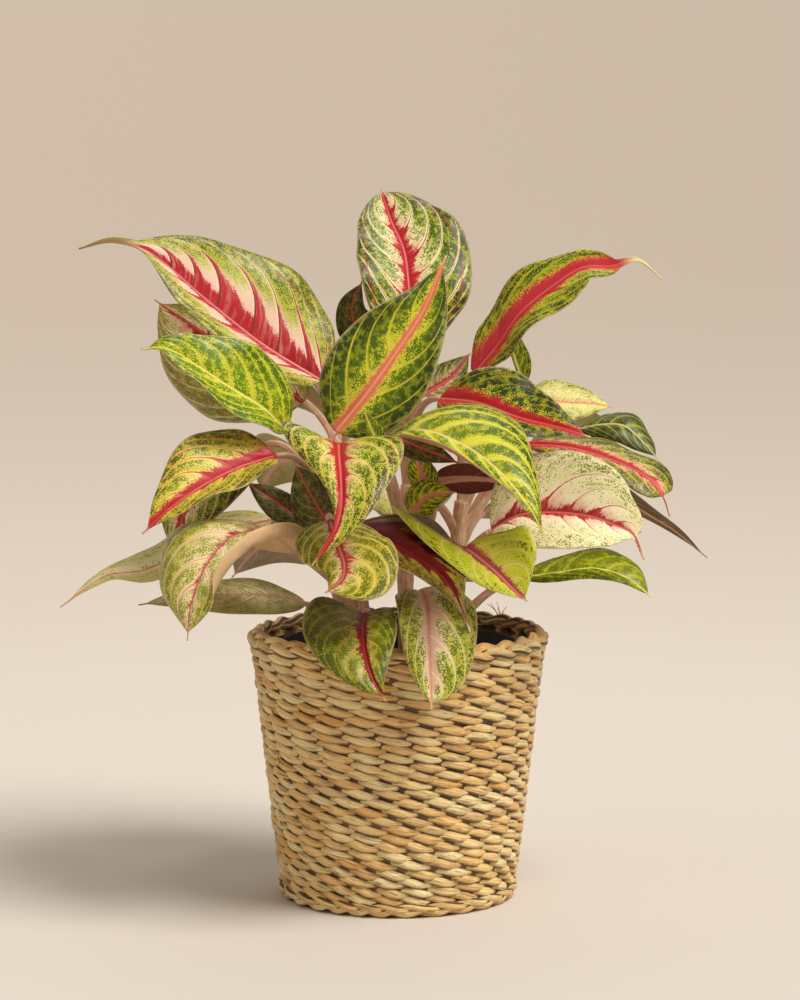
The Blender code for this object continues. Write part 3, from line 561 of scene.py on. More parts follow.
class Nodes:
    """Adds nodes to a tree, and gives back the value that the next node reads."""

    def __init__(self, tree):
        self.tree = tree

    def feed(self, node, key, value):
        """Links a value to a node's input, or sets a number there, or a colour as the eye reads it."""
        if isinstance(value, Value):
            self.tree.links.new(value.socket, node.inputs[key])
        else:
            node.inputs[key].default_value = srgb(*value) if isinstance(value, tuple) else value

    def add(self, kind, inputs=None, output=0, **settings):
        node = self.tree.nodes.new(kind)
        for name, value in settings.items():
            setattr(node, name, value)
        for key, value in (inputs or {}).items():
            self.feed(node, key, value)
        return Value(self, node.outputs[output])

    def math(self, operation, *values):
        return self.add("ShaderNodeMath", dict(enumerate(values)), operation=operation)

    def size(self, value):
        """The value without its sign."""
        return self.math("ABSOLUTE", value)

    def step(self, value, low, high):
        """0 at low, 1 at high and smooth between, also where high is the smaller one."""
        return self.add("ShaderNodeMapRange", {"Value": value, "From Min": low, "From Max": high},
                        interpolation_type="SMOOTHSTEP")

    def mix(self, factor, first, second):
        return self.add("ShaderNodeMix", {0: factor, 6: first, 7: second}, output=2, data_type="RGBA")

    def tint(self, colour, tone, value, low, high, amount):
        """The colour, turned to the tone by an amount where the value has gone from low to high."""
        return self.mix(self.step(value, low, high) * amount, colour, tone)

    def blend(self, factor, first, second):
        """A mix of two plain values."""
        return self.add("ShaderNodeMix", {0: factor, 2: first, 3: second}, data_type="FLOAT")

    def uv(self, name):
        """The two values of a UV map."""
        split = self.tree.nodes.new("ShaderNodeSeparateXYZ")
        self.feed(split, 0, self.add("ShaderNodeUVMap", uv_map=name))
        return Value(self, split.outputs[0]), Value(self, split.outputs[1])

    def place(self):
        """The object's own coordinates."""
        return self.add("ShaderNodeTexCoord", output=3)

    def vector(self, x, y, z=0.0):
        return self.add("ShaderNodeCombineXYZ", {0: x, 1: y, 2: z})

    def noise(self, vector, scale, detail=2.0, roughness=0.5):
        return self.add("ShaderNodeTexNoise", {"Vector": vector, "Scale": scale, "Detail": detail,
                                               "Roughness": roughness})

    def chance(self, vector):
        return self.add("ShaderNodeTexWhiteNoise", {"Vector": vector})

    def surface(self, colour, height, strength, depth, roughness, more=()):
        """The tree's shader: its colour, its bump with a depth in millimetres, and its gloss."""
        lump = self.add("ShaderNodeBump", {"Strength": strength, "Distance": depth * MM, "Height": height})
        inputs = {"Base Color": colour, "Normal": lump, "Roughness": roughness, **dict(more)}
        for key, value in inputs.items():
            self.feed(self.tree.nodes["Principled BSDF"], key, value)


def new_material(name):
    """A material, and what adds nodes to it."""
    material = bpy.data.materials.new(name)
    material.use_nodes = True
    return material, Nodes(material.node_tree)


def new_group(name, floats, colours):
    """A node group that gives a colour and a height, and the values that its nodes can read."""
    group = bpy.data.node_groups.new(name, "ShaderNodeTree")
    keys = [(key, "INPUT", "NodeSocketFloat") for key in floats]
    keys += [(key, "INPUT", "NodeSocketColor") for key in colours]
    keys += [("Colour", "OUTPUT", "NodeSocketColor"), ("Height", "OUTPUT", "NodeSocketFloat")]
    for key, way, kind in keys:
        group.interface.new_socket(key, in_out=way, socket_type=kind)
    source = group.nodes.new("NodeGroupInput")
    n = Nodes(group)
    return n, SimpleNamespace(**{key: Value(n, source.outputs[key]) for key in (*floats, *colours)})


def close_group(n, colour, height):
    """The group, with its colour and height given out."""
    target = n.tree.nodes.new("NodeGroupOutput")
    n.feed(target, "Colour", colour)
    n.feed(target, "Height", height)
    return n.tree


LEAF_FLOATS = ("seed", "midrib", "blush", "saw", "flush", "cream", "slope", "vein_light", "line", "halo",
               "edge", "red_edge", "tip")
LEAF_COLOURS = ("midrib_colour", "blush_colour", "pink", "cream_colour", "lime", "green", "dark",
                "line_colour", "edge_colour", "base_colour")
BACK_FLOATS = ("seed", "midrib", "line", "mottle")
BACK_COLOURS = ("back", "back_dark", "back_line", "back_rib")


def leaf_places(n):
    """Where a point of a blade is: its share of the length, its spot, and its place among the veins."""
    share, _ = n.uv("leaf")
    phase, reach = n.uv("vein")
    turn = n.math("FRACT", phase)
    return share, n.uv("spot"), phase, reach, turn, n.math("MINIMUM", turn, 1.0 - turn)


def leaf_pattern():
    """Colour and height of an upper face: midrib, blush, cream zone, speckles, veins and edge, with painted
    light and shade beside the veins and on the midrib.
    """
    n, look = new_group("leaf pattern", LEAF_FLOATS, LEAF_COLOURS)
    share, spot, phase, reach, turn, near = leaf_places(n)
    luck = n.chance(n.vector(n.math("FLOOR", phase), look.seed))
    place = n.vector(*spot, look.seed)
    streak = n.noise(n.vector(phase * 7.0, reach * 3.0, look.seed), 1.0, 3.0, 0.6)
    spots = n.noise(place, 8.5, 2.5, 0.62)
    patches = n.noise(place, 1.7)
    ragged, speckle, patchy = streak - 0.5, spots - 0.5, patches - 0.5

    # Dark and light of the speckles
    dark = n.mix(n.step(reach + ragged * 0.5, 0.15, 0.9), look.green, look.dark)
    dark = n.tint(dark, look.lime, patches + speckle * 0.5, 0.45, 0.62, 0.4)
    light = n.mix(n.step(reach + ragged * 0.6, 0.15, 0.6), look.cream_colour, look.lime)
    beside = n.step(near + ragged * 0.25, 0.3, 0.02)
    level = look.cream + look.vein_light * beside + patchy * 0.9 + speckle * 2.6 + ragged * 0.9
    colour = n.mix(n.step(level - look.slope * reach, 0.44, 0.58), dark, light)

    # The blush is the leaf's own crimson and follows the veins outwards. With the one-sided
    #     setting at 1 it is strongest on the foot side of each vein, partly painted shade on the dark
    #     side of the vein's crease, and at 0 it is the same on both sides of it.
    beyond = 1.0 - near * 2.0
    peak = n.blend(look.saw, beyond * beyond, turn * turn)
    peak = peak * (0.35 + peak * peak * 0.65)
    limit = (0.3 + peak * (0.35 + luck * 0.9)) * look.blush * (1.2 - share * 0.6)
    rough = ragged * 0.5 + speckle * 0.45 + patchy * 0.25
    past = reach - limit + rough * (0.25 + limit * 0.9)
    # The pink reaches farthest just past each vein: partly the leaf's own pink, partly painted light on the
    # lit side of the vein's crease.
    pale = look.flush * (0.25 + (1.0 - turn) * (1.0 - turn) * 0.55)
    wash = n.step(reach - limit - pale + rough * 0.7, 0.05, -0.3)
    colour = n.mix(wash * n.step(look.flush, 0.0, 0.4), colour, look.pink)
    blush = n.step(past, 0.02, -0.05) * n.step(look.blush, 0.0, 0.02)
    depth = n.mix(n.step(share + reach * 0.4, 0.3, 0.0), look.blush_colour, look.base_colour)
    colour = n.mix(blush, colour, n.tint(depth, look.pink, streak, 0.45, 0.7, 0.35))

    # Side veins with their pale halo
    thin = look.line * (1.1 - reach * 0.5) * (0.45 + luck * 0.9)
    wander = near + speckle * 0.05
    halo = n.step(wander, thin * 3.6, thin * 1.6) * look.halo * (1.0 - blush)
    colour = n.tint(colour, look.cream_colour, reach, 1.0, 0.85, halo)
    line = n.step(wander, thin, thin * 0.5) * n.step(reach, 0.98, 0.8) * n.step(look.line, 0.0, 0.01)
    line = line * n.step(streak + luck * 0.5, 0.45, 0.6)
    colour = n.mix(line, colour, look.line_colour)

    # Red thread beside the edge, pale edge, midrib with a painted highlight along its middle, and tip
    threads = reach + patchy * 0.14
    thread = n.step(threads, 0.80, 0.83) * n.step(threads, 0.88, 0.85) * look.red_edge
    colour = n.tint(colour, look.line_colour, streak, 0.4, 0.5, thread)
    colour = n.tint(colour, look.edge_colour, reach, 0.94, 1.0, look.edge)
    half = look.midrib * (1.1 - share * 0.75)
    from_rib = n.size(spot[1]) + speckle * (half * 1.5) + ragged * (half * 0.8)
    rib = n.step(from_rib, half, half * 0.6) * n.step(look.midrib, 0.0, 0.01)
    # The midrib turns paler and pinker at its very middle: a painted highlight along the rib.
    midrib_highlight = n.tint(look.midrib_colour, look.pink, n.size(spot[1]), 0.13, 0.03, 0.5 - share * 0.3)
    colour = n.mix(rib, colour, midrib_highlight)
    colour = n.tint(colour, look.edge_colour, share, 0.93, 0.99, 0.7)
    colour = n.tint(colour, look.edge_colour, share + ragged * 0.06, 0.78, 0.86, look.tip)
    return close_group(n, colour, spots * 0.5 + streak * 0.35 + line * -0.5)


def leaf_back():
    """Colour and height of an underside: a dull field, raised pale veins and a pale rib."""
    n, look = new_group("leaf back", BACK_FLOATS, BACK_COLOURS)
    share, spot, _, reach, _, near = leaf_places(n)
    place = n.vector(*spot, look.seed)
    spots = n.noise(place, 7.0, 3.0, 0.6)
    field = n.noise(place, 1.3) + (spots - 0.5) * 0.8 + reach * 0.25
    colour = n.tint(look.back, look.back_dark, field, 0.35, 0.8, look.mottle)
    thin = (look.line + 0.03) * (1.1 - reach * 0.7)
    line = n.step(near, thin, thin * 0.3)
    colour = n.mix(line * 0.7, colour, look.back_line)
    half = (look.midrib + 0.12) * (1.1 - share * 0.8)
    colour = n.mix(n.step(n.size(spot[1]), half, half * 0.6), colour, look.back_rib)
    colour = n.tint(colour, look.back_line, reach, 0.94, 1.0, 0.5)
    return close_group(n, colour, spots * 0.4 + line * 0.6)


def pattern_material(name, group, look, keys, roughness, coat=0.0):
    """A material whose colour and bump come from one of the leaf groups."""
    material, n = new_material(name)
    pattern = n.tree.nodes.new("ShaderNodeGroup")
    pattern.node_tree = group
    for key in keys:
        n.feed(pattern, key, look[key])
    colour, height = (Value(n, pattern.outputs[key]) for key in ("Colour", "Height"))
    n.surface(colour, height, LEAF_BUMP, LEAF_BUMP_DEPTH, roughness, {
        "Specular IOR Level": LEAF_SPECULAR, "Coat Weight": coat, "Coat Roughness": COAT_ROUGHNESS})
    return material


# Colours, as the eye reads them
CRIMSON = (186, 30, 40)
DEEP_RED = (112, 8, 12)
ROSE = (208, 70, 74)
PINK = (236, 156, 138)
PALE_PINK = (242, 202, 178)
SALMON = (224, 124, 88)
CREAM = (246, 232, 182)
BUTTER = (216, 212, 62)
LIME = (174, 180, 20)
YELLOW_GREEN = (188, 192, 22)
MID_GREEN = (100, 122, 6)
DARK_GREEN = (40, 60, 2)
BLACK_GREEN = (34, 44, 8)
OLIVE = (106, 96, 22)
RED_BROWN = (132, 52, 40)
BEIGE = (226, 196, 160)

# What an upper face looks like. Midrib is its half width in centimetres, blush is how far
# the red reaches towards the edge, and line is half a side vein's width as a part of the
# space between two veins.
PINK_LOOK = dict(
    veins=6.5, lean=0.16, curve=0.32, quilt=1.0, saw=0.25, midrib=0.3, blush=0.34, flush=0.4, cream=0.72,
    slope=0.5, vein_light=0.16, line=0.045, halo=0.85, edge=0.5, red_edge=0.4, tip=0.0,
    midrib_colour=CRIMSON, blush_colour=CRIMSON, pink=PINK, cream_colour=CREAM, lime=LIME, green=MID_GREEN,
    dark=DARK_GREEN, line_colour=RED_BROWN, edge_colour=BEIGE, base_colour=DEEP_RED, mottle=0.6,
    back=(184, 174, 120), back_dark=(136, 142, 74), back_line=(206, 184, 150), back_rib=(216, 160, 140))
LIME_LOOK = PINK_LOOK | dict(
    blush=0.0, flush=0.2, cream=0.45, slope=0.25, vein_light=0.4, line=0.05, halo=0.5, red_edge=0.0,
    cream_colour=BUTTER, lime=YELLOW_GREEN, line_colour=BUTTER, midrib_colour=SALMON, pink=PALE_PINK,
    back=(196, 172, 122), back_dark=(138, 138, 62))
CREAM_LOOK = PINK_LOOK | dict(
    midrib=0.22, blush=0.2, flush=0.3, cream=0.95, line=0.035, lime=(220, 216, 110), green=(140, 152, 36),
    dark=(96, 114, 18), red_edge=0.15, edge=0.7)
GREEN_LOOK = PINK_LOOK | dict(
    midrib=0.16, blush=0.0, flush=0.0, cream=0.28, slope=0.1, vein_light=0.3, line=0.05, halo=0.4,
    red_edge=0.0, cream_colour=LIME, green=(104, 130, 8), line_colour=BUTTER, midrib_colour=BUTTER,
    pink=CREAM, base_colour=MID_GREEN, edge_colour=(214, 204, 140), back=(176, 156, 132),
    back_dark=(132, 124, 84))
RED_LOOK = PINK_LOOK | dict(
    midrib=0.4, blush=0.6, flush=0.2, cream=0.35, slope=0.2, lime=(168, 152, 40), green=OLIVE,
    dark=BLACK_GREEN, blush_colour=(150, 30, 30), cream_colour=LIME, back=(148, 96, 76),
    back_dark=(104, 74, 48))
# Olive leaves: a dull olive of their own, made darker still as painted shade for the inner leaves that lie
# among the others.
OLIVE_SHADED_LOOK = PINK_LOOK | dict(
    midrib=0.18, blush=0.12, flush=0.0, cream=0.2, slope=0.0, vein_light=0.1, halo=0.4, line=0.035,
    red_edge=0.1, cream_colour=(160, 156, 84), lime=(138, 138, 60), green=(84, 78, 28), dark=(52, 52, 18),
    line_colour=(150, 100, 72), edge_colour=(176, 150, 112), back=(128, 106, 68), back_dark=(84, 70, 38))
FAMILY_LOOKS = {"pink": PINK_LOOK, "lime": LIME_LOOK, "cream": CREAM_LOOK, "green": GREEN_LOOK,
                "red": RED_LOOK, "olive": OLIVE_SHADED_LOOK}

# What single leaves have of their own
OWN_LOOKS = {
    "leaf_01_upper_left": dict(
        veins=8.6, midrib=0.2, blush=0.7, flush=0.55, cream=1.0, slope=0.7, line=0.035, halo=0.7, saw=1.0,
        quilt=1.6, lean=0.1, curve=0.3, red_edge=0.6, pink=(244, 198, 182), edge_colour=(140, 116, 62),
        cream_colour=(248, 230, 200), lime=(190, 190, 60), blush_colour=(190, 40, 52),
        base_colour=(160, 20, 34), tip=0.9, green=(120, 140, 20), dark=(76, 98, 10)),
    "leaf_02_left_shaded": dict(
        cream=0.7, lime=(200, 186, 84), green=(150, 146, 54), blush=0.24, dark=(116, 118, 42)),
    "leaf_03_left_young": dict(
        midrib=0.14, cream=0.4, slope=0.25, cream_colour=BUTTER, green=(104, 138, 6), dark=(70, 104, 4),
        lime=(196, 200, 40)),
    "leaf_04_top": dict(
        midrib=0.62, blush=0.48, flush=0.3, cream=0.66, red_edge=0.7, line_colour=(150, 42, 40), line=0.05,
        halo=1.0),
    "leaf_05_centre": dict(
        midrib=0.66, cream=0.8, slope=1.35, vein_light=0.1, blush=0.14, blush_colour=SALMON,
        base_colour=SALMON, halo=0.4, dark=(46, 60, 8), line=0.035, veins=5.5, cream_colour=(220, 212, 60),
        saw=0.0, green=(88, 116, 8), lime=(176, 184, 24)),
    "leaf_06_upper_right": dict(
        midrib=1.8, blush=0.5, flush=0.1, cream=0.64, slope=0.35, cream_colour=BUTTER,
        midrib_colour=(196, 48, 56), edge_colour=(226, 212, 146), saw=0.0, blush_colour=(196, 40, 52),
        base_colour=(176, 30, 42), tip=0.9),
    "leaf_08_right_dark": dict(
        midrib=1.25, blush=0.4, cream=0.36, vein_light=0.1, cream_colour=BUTTER, green=DARK_GREEN,
        dark=(30, 42, 4), blush_colour=CRIMSON, lime=LIME, saw=0.0, halo=0.3),
    "leaf_09_centre_arching": dict(
        midrib=0.14, midrib_colour=BUTTER, cream=0.27, vein_light=0.5, slope=-0.05, line=0.06, veins=7.5,
        back=(206, 150, 112), back_dark=(176, 130, 84)),
    "leaf_10_front_hanging": dict(
        midrib=0.75, blush=0.36, cream=0.58, slope=0.25, cream_colour=(232, 222, 120),
        line_colour=(200, 104, 84), halo=0.8, lime=(186, 184, 50)),
    "leaf_11_left_middle": dict(
        midrib=1.25, blush=0.4, slope=0.4, flush=0.2, cream_colour=(232, 214, 90), line_colour=ROSE,
        saw=0.1, lime=(206, 192, 56), dark=(70, 88, 12), green=(130, 136, 20)),
    "leaf_12_left_behind": dict(midrib=0.34, cream=0.75, blush=0.6),
    # Pale cream-green, partly its own colour and partly painted light on a low leaf that lies in the shade of
    # the others.
    "leaf_13_far_left_low": dict(
        midrib=0.12, midrib_colour=ROSE, blush=0.1, blush_colour=ROSE, base_colour=ROSE, cream=0.74,
        slope=0.1, cream_colour=(244, 230, 184), lime=(214, 208, 124), green=(164, 170, 64),
        dark=(138, 146, 54), line_colour=PALE_PINK, line=0.05),
    "leaf_14_left_low_arch": dict(
        midrib=0.14, midrib_colour=(176, 60, 60), blush=0.12, cream=0.5, slope=0.15, flush=0.2,
        line_colour=PINK, green=(146, 152, 30), dark=(104, 114, 20), lime=(208, 200, 74),
        cream_colour=(244, 222, 176), blush_colour=(150, 40, 40), back=(214, 182, 140),
        back_dark=(196, 158, 112), back_line=(222, 192, 152), back_rib=(206, 160, 128)),
    # Paler than its own grey-green: painted light on a leaf that lies in the shadow of the leaves above it.
    "leaf_15_left_grey": dict(
        green=(226, 220, 164), dark=(176, 174, 106), cream=0.4, blush=0.0, line_colour=(246, 226, 196),
        line=0.06, midrib_colour=(190, 160, 120)),
    "leaf_16_over_rim_left": dict(
        midrib=0.6, midrib_colour=(124, 16, 22), cream=0.36, slope=0.2, halo=0.35,
        line_colour=(172, 90, 62), cream_colour=(200, 180, 90), lime=(160, 160, 40), line=0.035,
        green=(112, 118, 14), dark=(74, 84, 10), blush=0.34, blush_colour=(124, 20, 22),
        edge_colour=(214, 190, 110), pink=(170, 60, 54), veins=7.5),
    "leaf_17_over_rim_middle": dict(
        midrib=0.24, midrib_colour=(214, 138, 120), blush=0.6, cream=0.5, slope=0.1, flush=0.0,
        green=(122, 134, 22), line_colour=CREAM, dark=(86, 100, 14), lime=(196, 194, 70), veins=5.0,
        halo=0.45, saw=0.0, blush_colour=(232, 192, 164), base_colour=(220, 176, 150), pink=(240, 208, 180),
        line=0.03),
    "leaf_18_dark_red": dict(
        midrib=0.2, blush=1.1, blush_colour=(86, 6, 6), cream=0.7, flush=0.0, cream_colour=(150, 122, 20),
        lime=(124, 106, 18), green=(74, 68, 14), midrib_colour=(118, 16, 18), pink=(108, 16, 16),
        base_colour=(90, 6, 6), halo=0.0, line_colour=(90, 8, 8)),
    "leaf_19_front_lime": dict(
        midrib=0.75, midrib_colour=(176, 70, 66), cream=0.8, slope=0.1, line_colour=PALE_PINK, line=0.035,
        blush=0.2, blush_colour=(184, 80, 74), base_colour=(176, 70, 66), cream_colour=(208, 206, 64),
        lime=(180, 184, 30), green=(134, 144, 20), halo=0.3),
    "leaf_20_right_cream": dict(
        midrib=0.26, blush=0.3, cream=0.94, slope=0.45, flush=0.4, blush_colour=(176, 32, 42),
        cream_colour=(250, 240, 204), lime=(240, 234, 176), line=0.03, line_colour=(190, 66, 62),
        pink=(242, 176, 156), dark=(120, 140, 36), green=(150, 164, 50)),
    "leaf_21_right_pale": dict(
        midrib=0.12, midrib_colour=SALMON, blush=0.0, cream=0.85, slope=0.45, cream_colour=(244, 232, 150),
        line=0.02),
    "leaf_22_right_drooping": dict(
        green=(62, 72, 14), dark=(44, 52, 10), cream=0.15, line_colour=(150, 150, 70),
        midrib_colour=(170, 160, 80), lime=(110, 116, 24)),
    "leaf_23_right_hooked": dict(
        midrib=0.8, blush=0.4, cream=0.6, green=OLIVE, cream_colour=(222, 190, 120),
        edge_colour=(210, 150, 120), saw=0.0),
    "leaf_25_right_low": dict(
        green=(110, 122, 10), dark=(78, 92, 6), cream=0.25, line_colour=(190, 184, 70),
        back=(206, 176, 150), back_dark=(180, 148, 122)),
    "leaf_27_front_low": dict(
        midrib=0.5, midrib_colour=(176, 50, 50), cream=0.56, blush=0.42, blush_colour=ROSE,
        lime=(184, 168, 52), green=(124, 130, 22), cream_colour=(232, 218, 120), dark=(90, 96, 14),
        halo=0.4, flush=0.3),
    "leaf_30_inner_red": dict(back=(120, 60, 50), back_dark=(84, 40, 32), back_line=(166, 104, 84)),
    "leaf_32_inner_glossy": dict(cream=0.5, green=(150, 152, 96), midrib_colour=ROSE),
}

UPPER_KEYS = (*LEAF_FLOATS, *LEAF_COLOURS)
BACK_KEYS = (*BACK_FLOATS, *BACK_COLOURS)
LEAF_ROUGHNESS = 0.38
BACK_ROUGHNESS = 0.6
LEAF_BUMP = 0.6
LEAF_BUMP_DEPTH = 0.6
LEAF_COAT = 0.05
COAT_ROUGHNESS = 0.25
LEAF_SPECULAR = 0.3
SEED_STEP = 2.37
SEED_RANGE = 10.0


def dress_leaves():
    """Every blade, in the looks of its family and its own."""
    upper_group, back_group = leaf_pattern(), leaf_back()
    shared = {}
    for number, leaf in enumerate(LEAVES):
        seed = number * SEED_STEP
        own = leaf.name in OWN_LOOKS
        look = FAMILY_LOOKS[leaf.colour] | OWN_LOOKS.get(leaf.name, {})
        look["seed"] = seed % SEED_RANGE if own else 0.0
        key = leaf.name if own else leaf.colour
        if key not in shared:
            shared[key] = (
                pattern_material(key + "_upper", upper_group, look, UPPER_KEYS, LEAF_ROUGHNESS, LEAF_COAT),
                pattern_material(key + "_under", back_group, look, BACK_KEYS, BACK_ROUGHNESS))
        piece = add_blade(leaf, look, seed)
        for material in shared[key]:
            piece.data.materials.append(material)
        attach(piece, "root")
        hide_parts(leaf.name)


# Stems
CANE_SIDES = 20
STALK_SIDES = 16
CANE_FINENESS = 5
STALK_FINENESS = 2
NODE_RING_SPACING = 12.0
NODE_RING_HEIGHT = 0.5
NODE_RING_HALF = 1.2
STALK_CHANNEL = 0.32
STALK_CHANNEL_HALF = 0.5
STEM_ROUGHNESS = 0.45
TUBE_START = (0.0, -1.0, 0.3)


def cane_route(shoot):
    """Points up the cane, from its foot in the soil to its top."""
    foot = np.array((*shoot.foot, SOIL_TOP - HOLE_DEPTH + CLEARANCE))
    collar = np.array((*shoot.foot, SOIL_TOP + CANE_RADIUS))
    top = np.array(shoot.top, float)
    return np.concatenate([[foot], smooth_path((collar, (collar + top) / 2, top), CANE_STEPS)])


def stalk_route(leaf, shoot):
    """Points along the leaf's stalk, from inside its cane to its blade's foot."""
    midrib = Midrib(leaf.midrib)
    ahead, _, up = blade_axes(leaf, midrib, np.zeros(1))
    ahead, up = ahead[0], up[0]
    end = midrib.place(0.0) - ahead * CLEARANCE - up * STALK_SET
    top = np.array(shoot.top, float)
    collar = np.array((*shoot.foot, SOIL_TOP + CANE_RADIUS))
    away = np.linalg.norm(end[:2] - top[:2])
    height = end[2] - STALK_DROP - STALK_DROP_PER_REACH * away
    height = min(max(height, collar[2] + LOWEST_STALK), top[2] - HIGHEST_STALK)
    start = collar + (top - collar) * (height - collar[2]) / (top[2] - collar[2])
    gap = np.linalg.norm(end - start)
    rising = unit(unit(top - collar) + STALK_LEAN * unit(end - start))
    handles = (start, start + rising * FOOT_HANDLE * gap, end - ahead * END_HANDLE * gap, end)
    t = np.linspace(0.0, 1.0, STALK_STEPS + 1)[:, None]
    weights = ((1 - t) ** 3, 3 * (1 - t) ** 2 * t, 3 * (1 - t) * t ** 2, t ** 3)
    route = sum(w * h for w, h in zip(weights, handles))
    return np.insert(route, -1, end - ahead * STALK_END_LENGTH, axis=0)


def tube(points, radii, sides, dents=None):
    """Rings of points along a route, from a way across them that doesn't twist."""
    ahead = unit(np.gradient(points, axis=0))
    side = np.zeros_like(points)
    across = np.cross(ahead[0], TUBE_START)
    for index, way in enumerate(ahead):
        across = unit(across - way * (across @ way))
        side[index] = across
    up = np.cross(side, ahead)
    turns = full_turn(sides)
    size = np.asarray(radii)[:, None] * np.ones(sides)
    if dents is not None:
        size = size * dents(turns)
    aside = np.cos(turns)[None, :, None] * side[:, None, :] + np.sin(turns)[None, :, None] * up[:, None, :]
    return points[:, None, :] + size[..., None] * aside


def ring_quads(rows, sides, closed=False):
    """Quads between rings of points, and round from the last ring to the first if closed."""
    index = np.arange(rows * sides).reshape(rows, sides)
    first = index if closed else index[:-1]
    second = np.roll(index, -1, axis=0) if closed else index[1:]
    return np.stack([first, np.roll(first, -1, axis=1), np.roll(second, -1, axis=1), second], axis=-1)


def tube_corners(distance, spans, sides):
    """UV corners of a tube's quads: centimetres along it, and the share of a turn round it."""
    near, far = (np.repeat(part[:, None], sides, axis=1) / MM_PER_CM
                 for part in (distance[:spans], distance[1:spans + 1]))
    low = np.repeat((np.arange(sides) / sides)[None, :], spans, axis=0)
    high = low + 1.0 / sides
    return np.stack([np.stack([near, low], -1), np.stack([near, high], -1),
                     np.stack([far, high], -1), np.stack([far, low], -1)], axis=2).reshape(-1, 2)


def add_tube(name, points, radii, sides, collection=None, dents=None):
    """A closed tube with its UV map."""
    rings, distance = tube(points, radii, sides, dents), distances(points)
    rows = len(points)
    faces = [tuple(quad) for quad in ring_quads(rows, sides).reshape(-1, 4)]
    faces.append(tuple(range(sides))[::-1])
    faces.append(tuple(range((rows - 1) * sides, rows * sides)))
    piece = add_mesh(name, rings.reshape(-1, 3), faces, collection)
    ends = np.zeros((2 * sides, 2))
    ends[sides:, 0] = distance[-1] / MM_PER_CM
    add_uv(piece.data, "tube", np.concatenate([tube_corners(distance, rows - 1, sides), ends]))
    for face in piece.data.polygons:
        face.use_smooth = len(face.vertices) == 4
    return piece


def finer(points, parts):
    """The same route with each of its steps cut into parts."""
    knots = np.arange(len(points))
    dense = np.linspace(0, len(points) - 1, (len(points) - 1) * parts + 1)
    return np.stack([np.interp(dense, knots, points[:, k]) for k in range(3)], axis=-1)


def evaluated_mesh(piece):
    """The piece's mesh with its modifiers applied."""
    graph = bpy.context.evaluated_depsgraph_get()
    return bpy.data.meshes.new_from_object(piece.evaluated_get(graph), preserve_all_data_layers=True,
                                           depsgraph=graph)


def channelled(turns):
    """A stalk is grooved along its upper side."""
    return 1.0 - STALK_CHANNEL * np.exp(-((turns - math.pi / 2) / STALK_CHANNEL_HALF) ** 2)[None, :]


def stem_material():
    """Pale pink-cream stems, streaked along, redder here and there, their colours darkened a little as
    painted shade among the leaves.
    """
    material, n = new_material("stem")
    along, turn = n.uv("tube")
    streak = n.noise(n.vector(along * 0.5, turn * 12.0), 2.0, 4.0, 0.6)
    patches = n.noise(n.vector(along, turn * 3.0, 4.0), 0.9)
    # These colours are darker and browner than the stalks' own pale pink: partly painted shade, for stems
    # that stand in the shade of the leaves.
    colour = n.mix(n.step(streak, 0.35, 0.65), (198, 146, 120), (230, 196, 166))
    colour = n.tint(colour, (188, 172, 96), patches, 0.45, 0.75, 0.6)
    colour = n.tint(colour, (192, 104, 86), patches, 0.5, 0.25, 0.55)
    height = streak * 0.7 + n.noise(n.vector(along, turn, 1.0), 40.0) * 0.3
    n.surface(colour, height, 0.4, 0.5, STEM_ROUGHNESS)
    return material


def add_cane(shoot):
    """A cane with a low ring at each node."""
    route = finer(cane_route(shoot), CANE_FINENESS)
    from_ring = distances(route) % NODE_RING_SPACING - NODE_RING_SPACING / 2
    swell = NODE_RING_HEIGHT * np.exp(-(from_ring / NODE_RING_HALF) ** 2)
    radii = CANE_RADIUS - NODE_RING_HEIGHT + swell
    return add_tube("shoot_" + shoot.name + "_stems", route, radii, CANE_SIDES)


def add_stalk(leaf, shoot, collection):
    """A leaf's stalk, thinner towards its blade."""
    path = finer(stalk_route(leaf, shoot), STALK_FINENESS)
    radii = np.linspace(STALK_FOOT_RADIUS, STALK_END_RADIUS, len(path))
    return add_tube(leaf.name + "_stalk", path, radii, STALK_SIDES, collection, channelled)


def dress_shoots():
    """Every leafy stem: its cane with its stalks, joined into one piece."""
    material = stem_material()
    helpers = bpy.data.collections.new("stalks")
    bpy.context.scene.collection.children.link(helpers)
    for shoot in SHOOTS:
        cane = add_cane(shoot)
        stalks = [add_stalk(leaf, shoot, helpers) for leaf in LEAVES if leaf.shoot == shoot.name]
        union = cane.modifiers.new("stalks", "BOOLEAN")
        union.operation = "UNION"
        union.operand_type = "COLLECTION"
        union.collection = helpers
        union.solver = "EXACT"
        joined = evaluated_mesh(cane)
        cane.modifiers.clear()
        cane.data = joined
        joined.materials.clear()
        joined.materials.append(material)
        for stalk in stalks:
            bpy.data.objects.remove(stalk)
        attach(cane, "root")
        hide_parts("shoot_" + shoot.name)
    bpy.data.collections.remove(helpers)


# Basket: every row of the wall is two straws twisted round each other
BASKET_FOOT_RADIUS = 96.0
BASKET_TOP_RADIUS = 119.5
BASKET_WALL_TOP = 204.0
BASKET_WALL_FOOT = 10.3
BASKET_FLOOR = 6.0
FOOT_TUCK = 4.0
FOOT_TUCK_HEIGHT = 14.0
RIM_WALL_TOP = 207.0
BASKET_SEED = 4
WEAVE_ROWS = 27
WEAVE_TWISTS = 13
WEAVE_SEGMENTS = 154
WEAVE_SIDES = 10
WEAVE_DEPTH = 5.1
WEAVE_OUT = 2.8
WEAVE_RISE = 2.1
ROW_SWAY = 0.5
ROW_SWAY_PERIODS = (2, 3, 5)
ROW_SPEED = 0.35
ROW_SPEED_PERIODS = (1, 3, 4)
ROW_START_RANGE = 6.3
STRAW_OUT_HALF = 2.7
STRAW_HIGH_HALF = 4.3
STRAW_LOW_HALF = 2.7
BULGE_OUT = 0.45
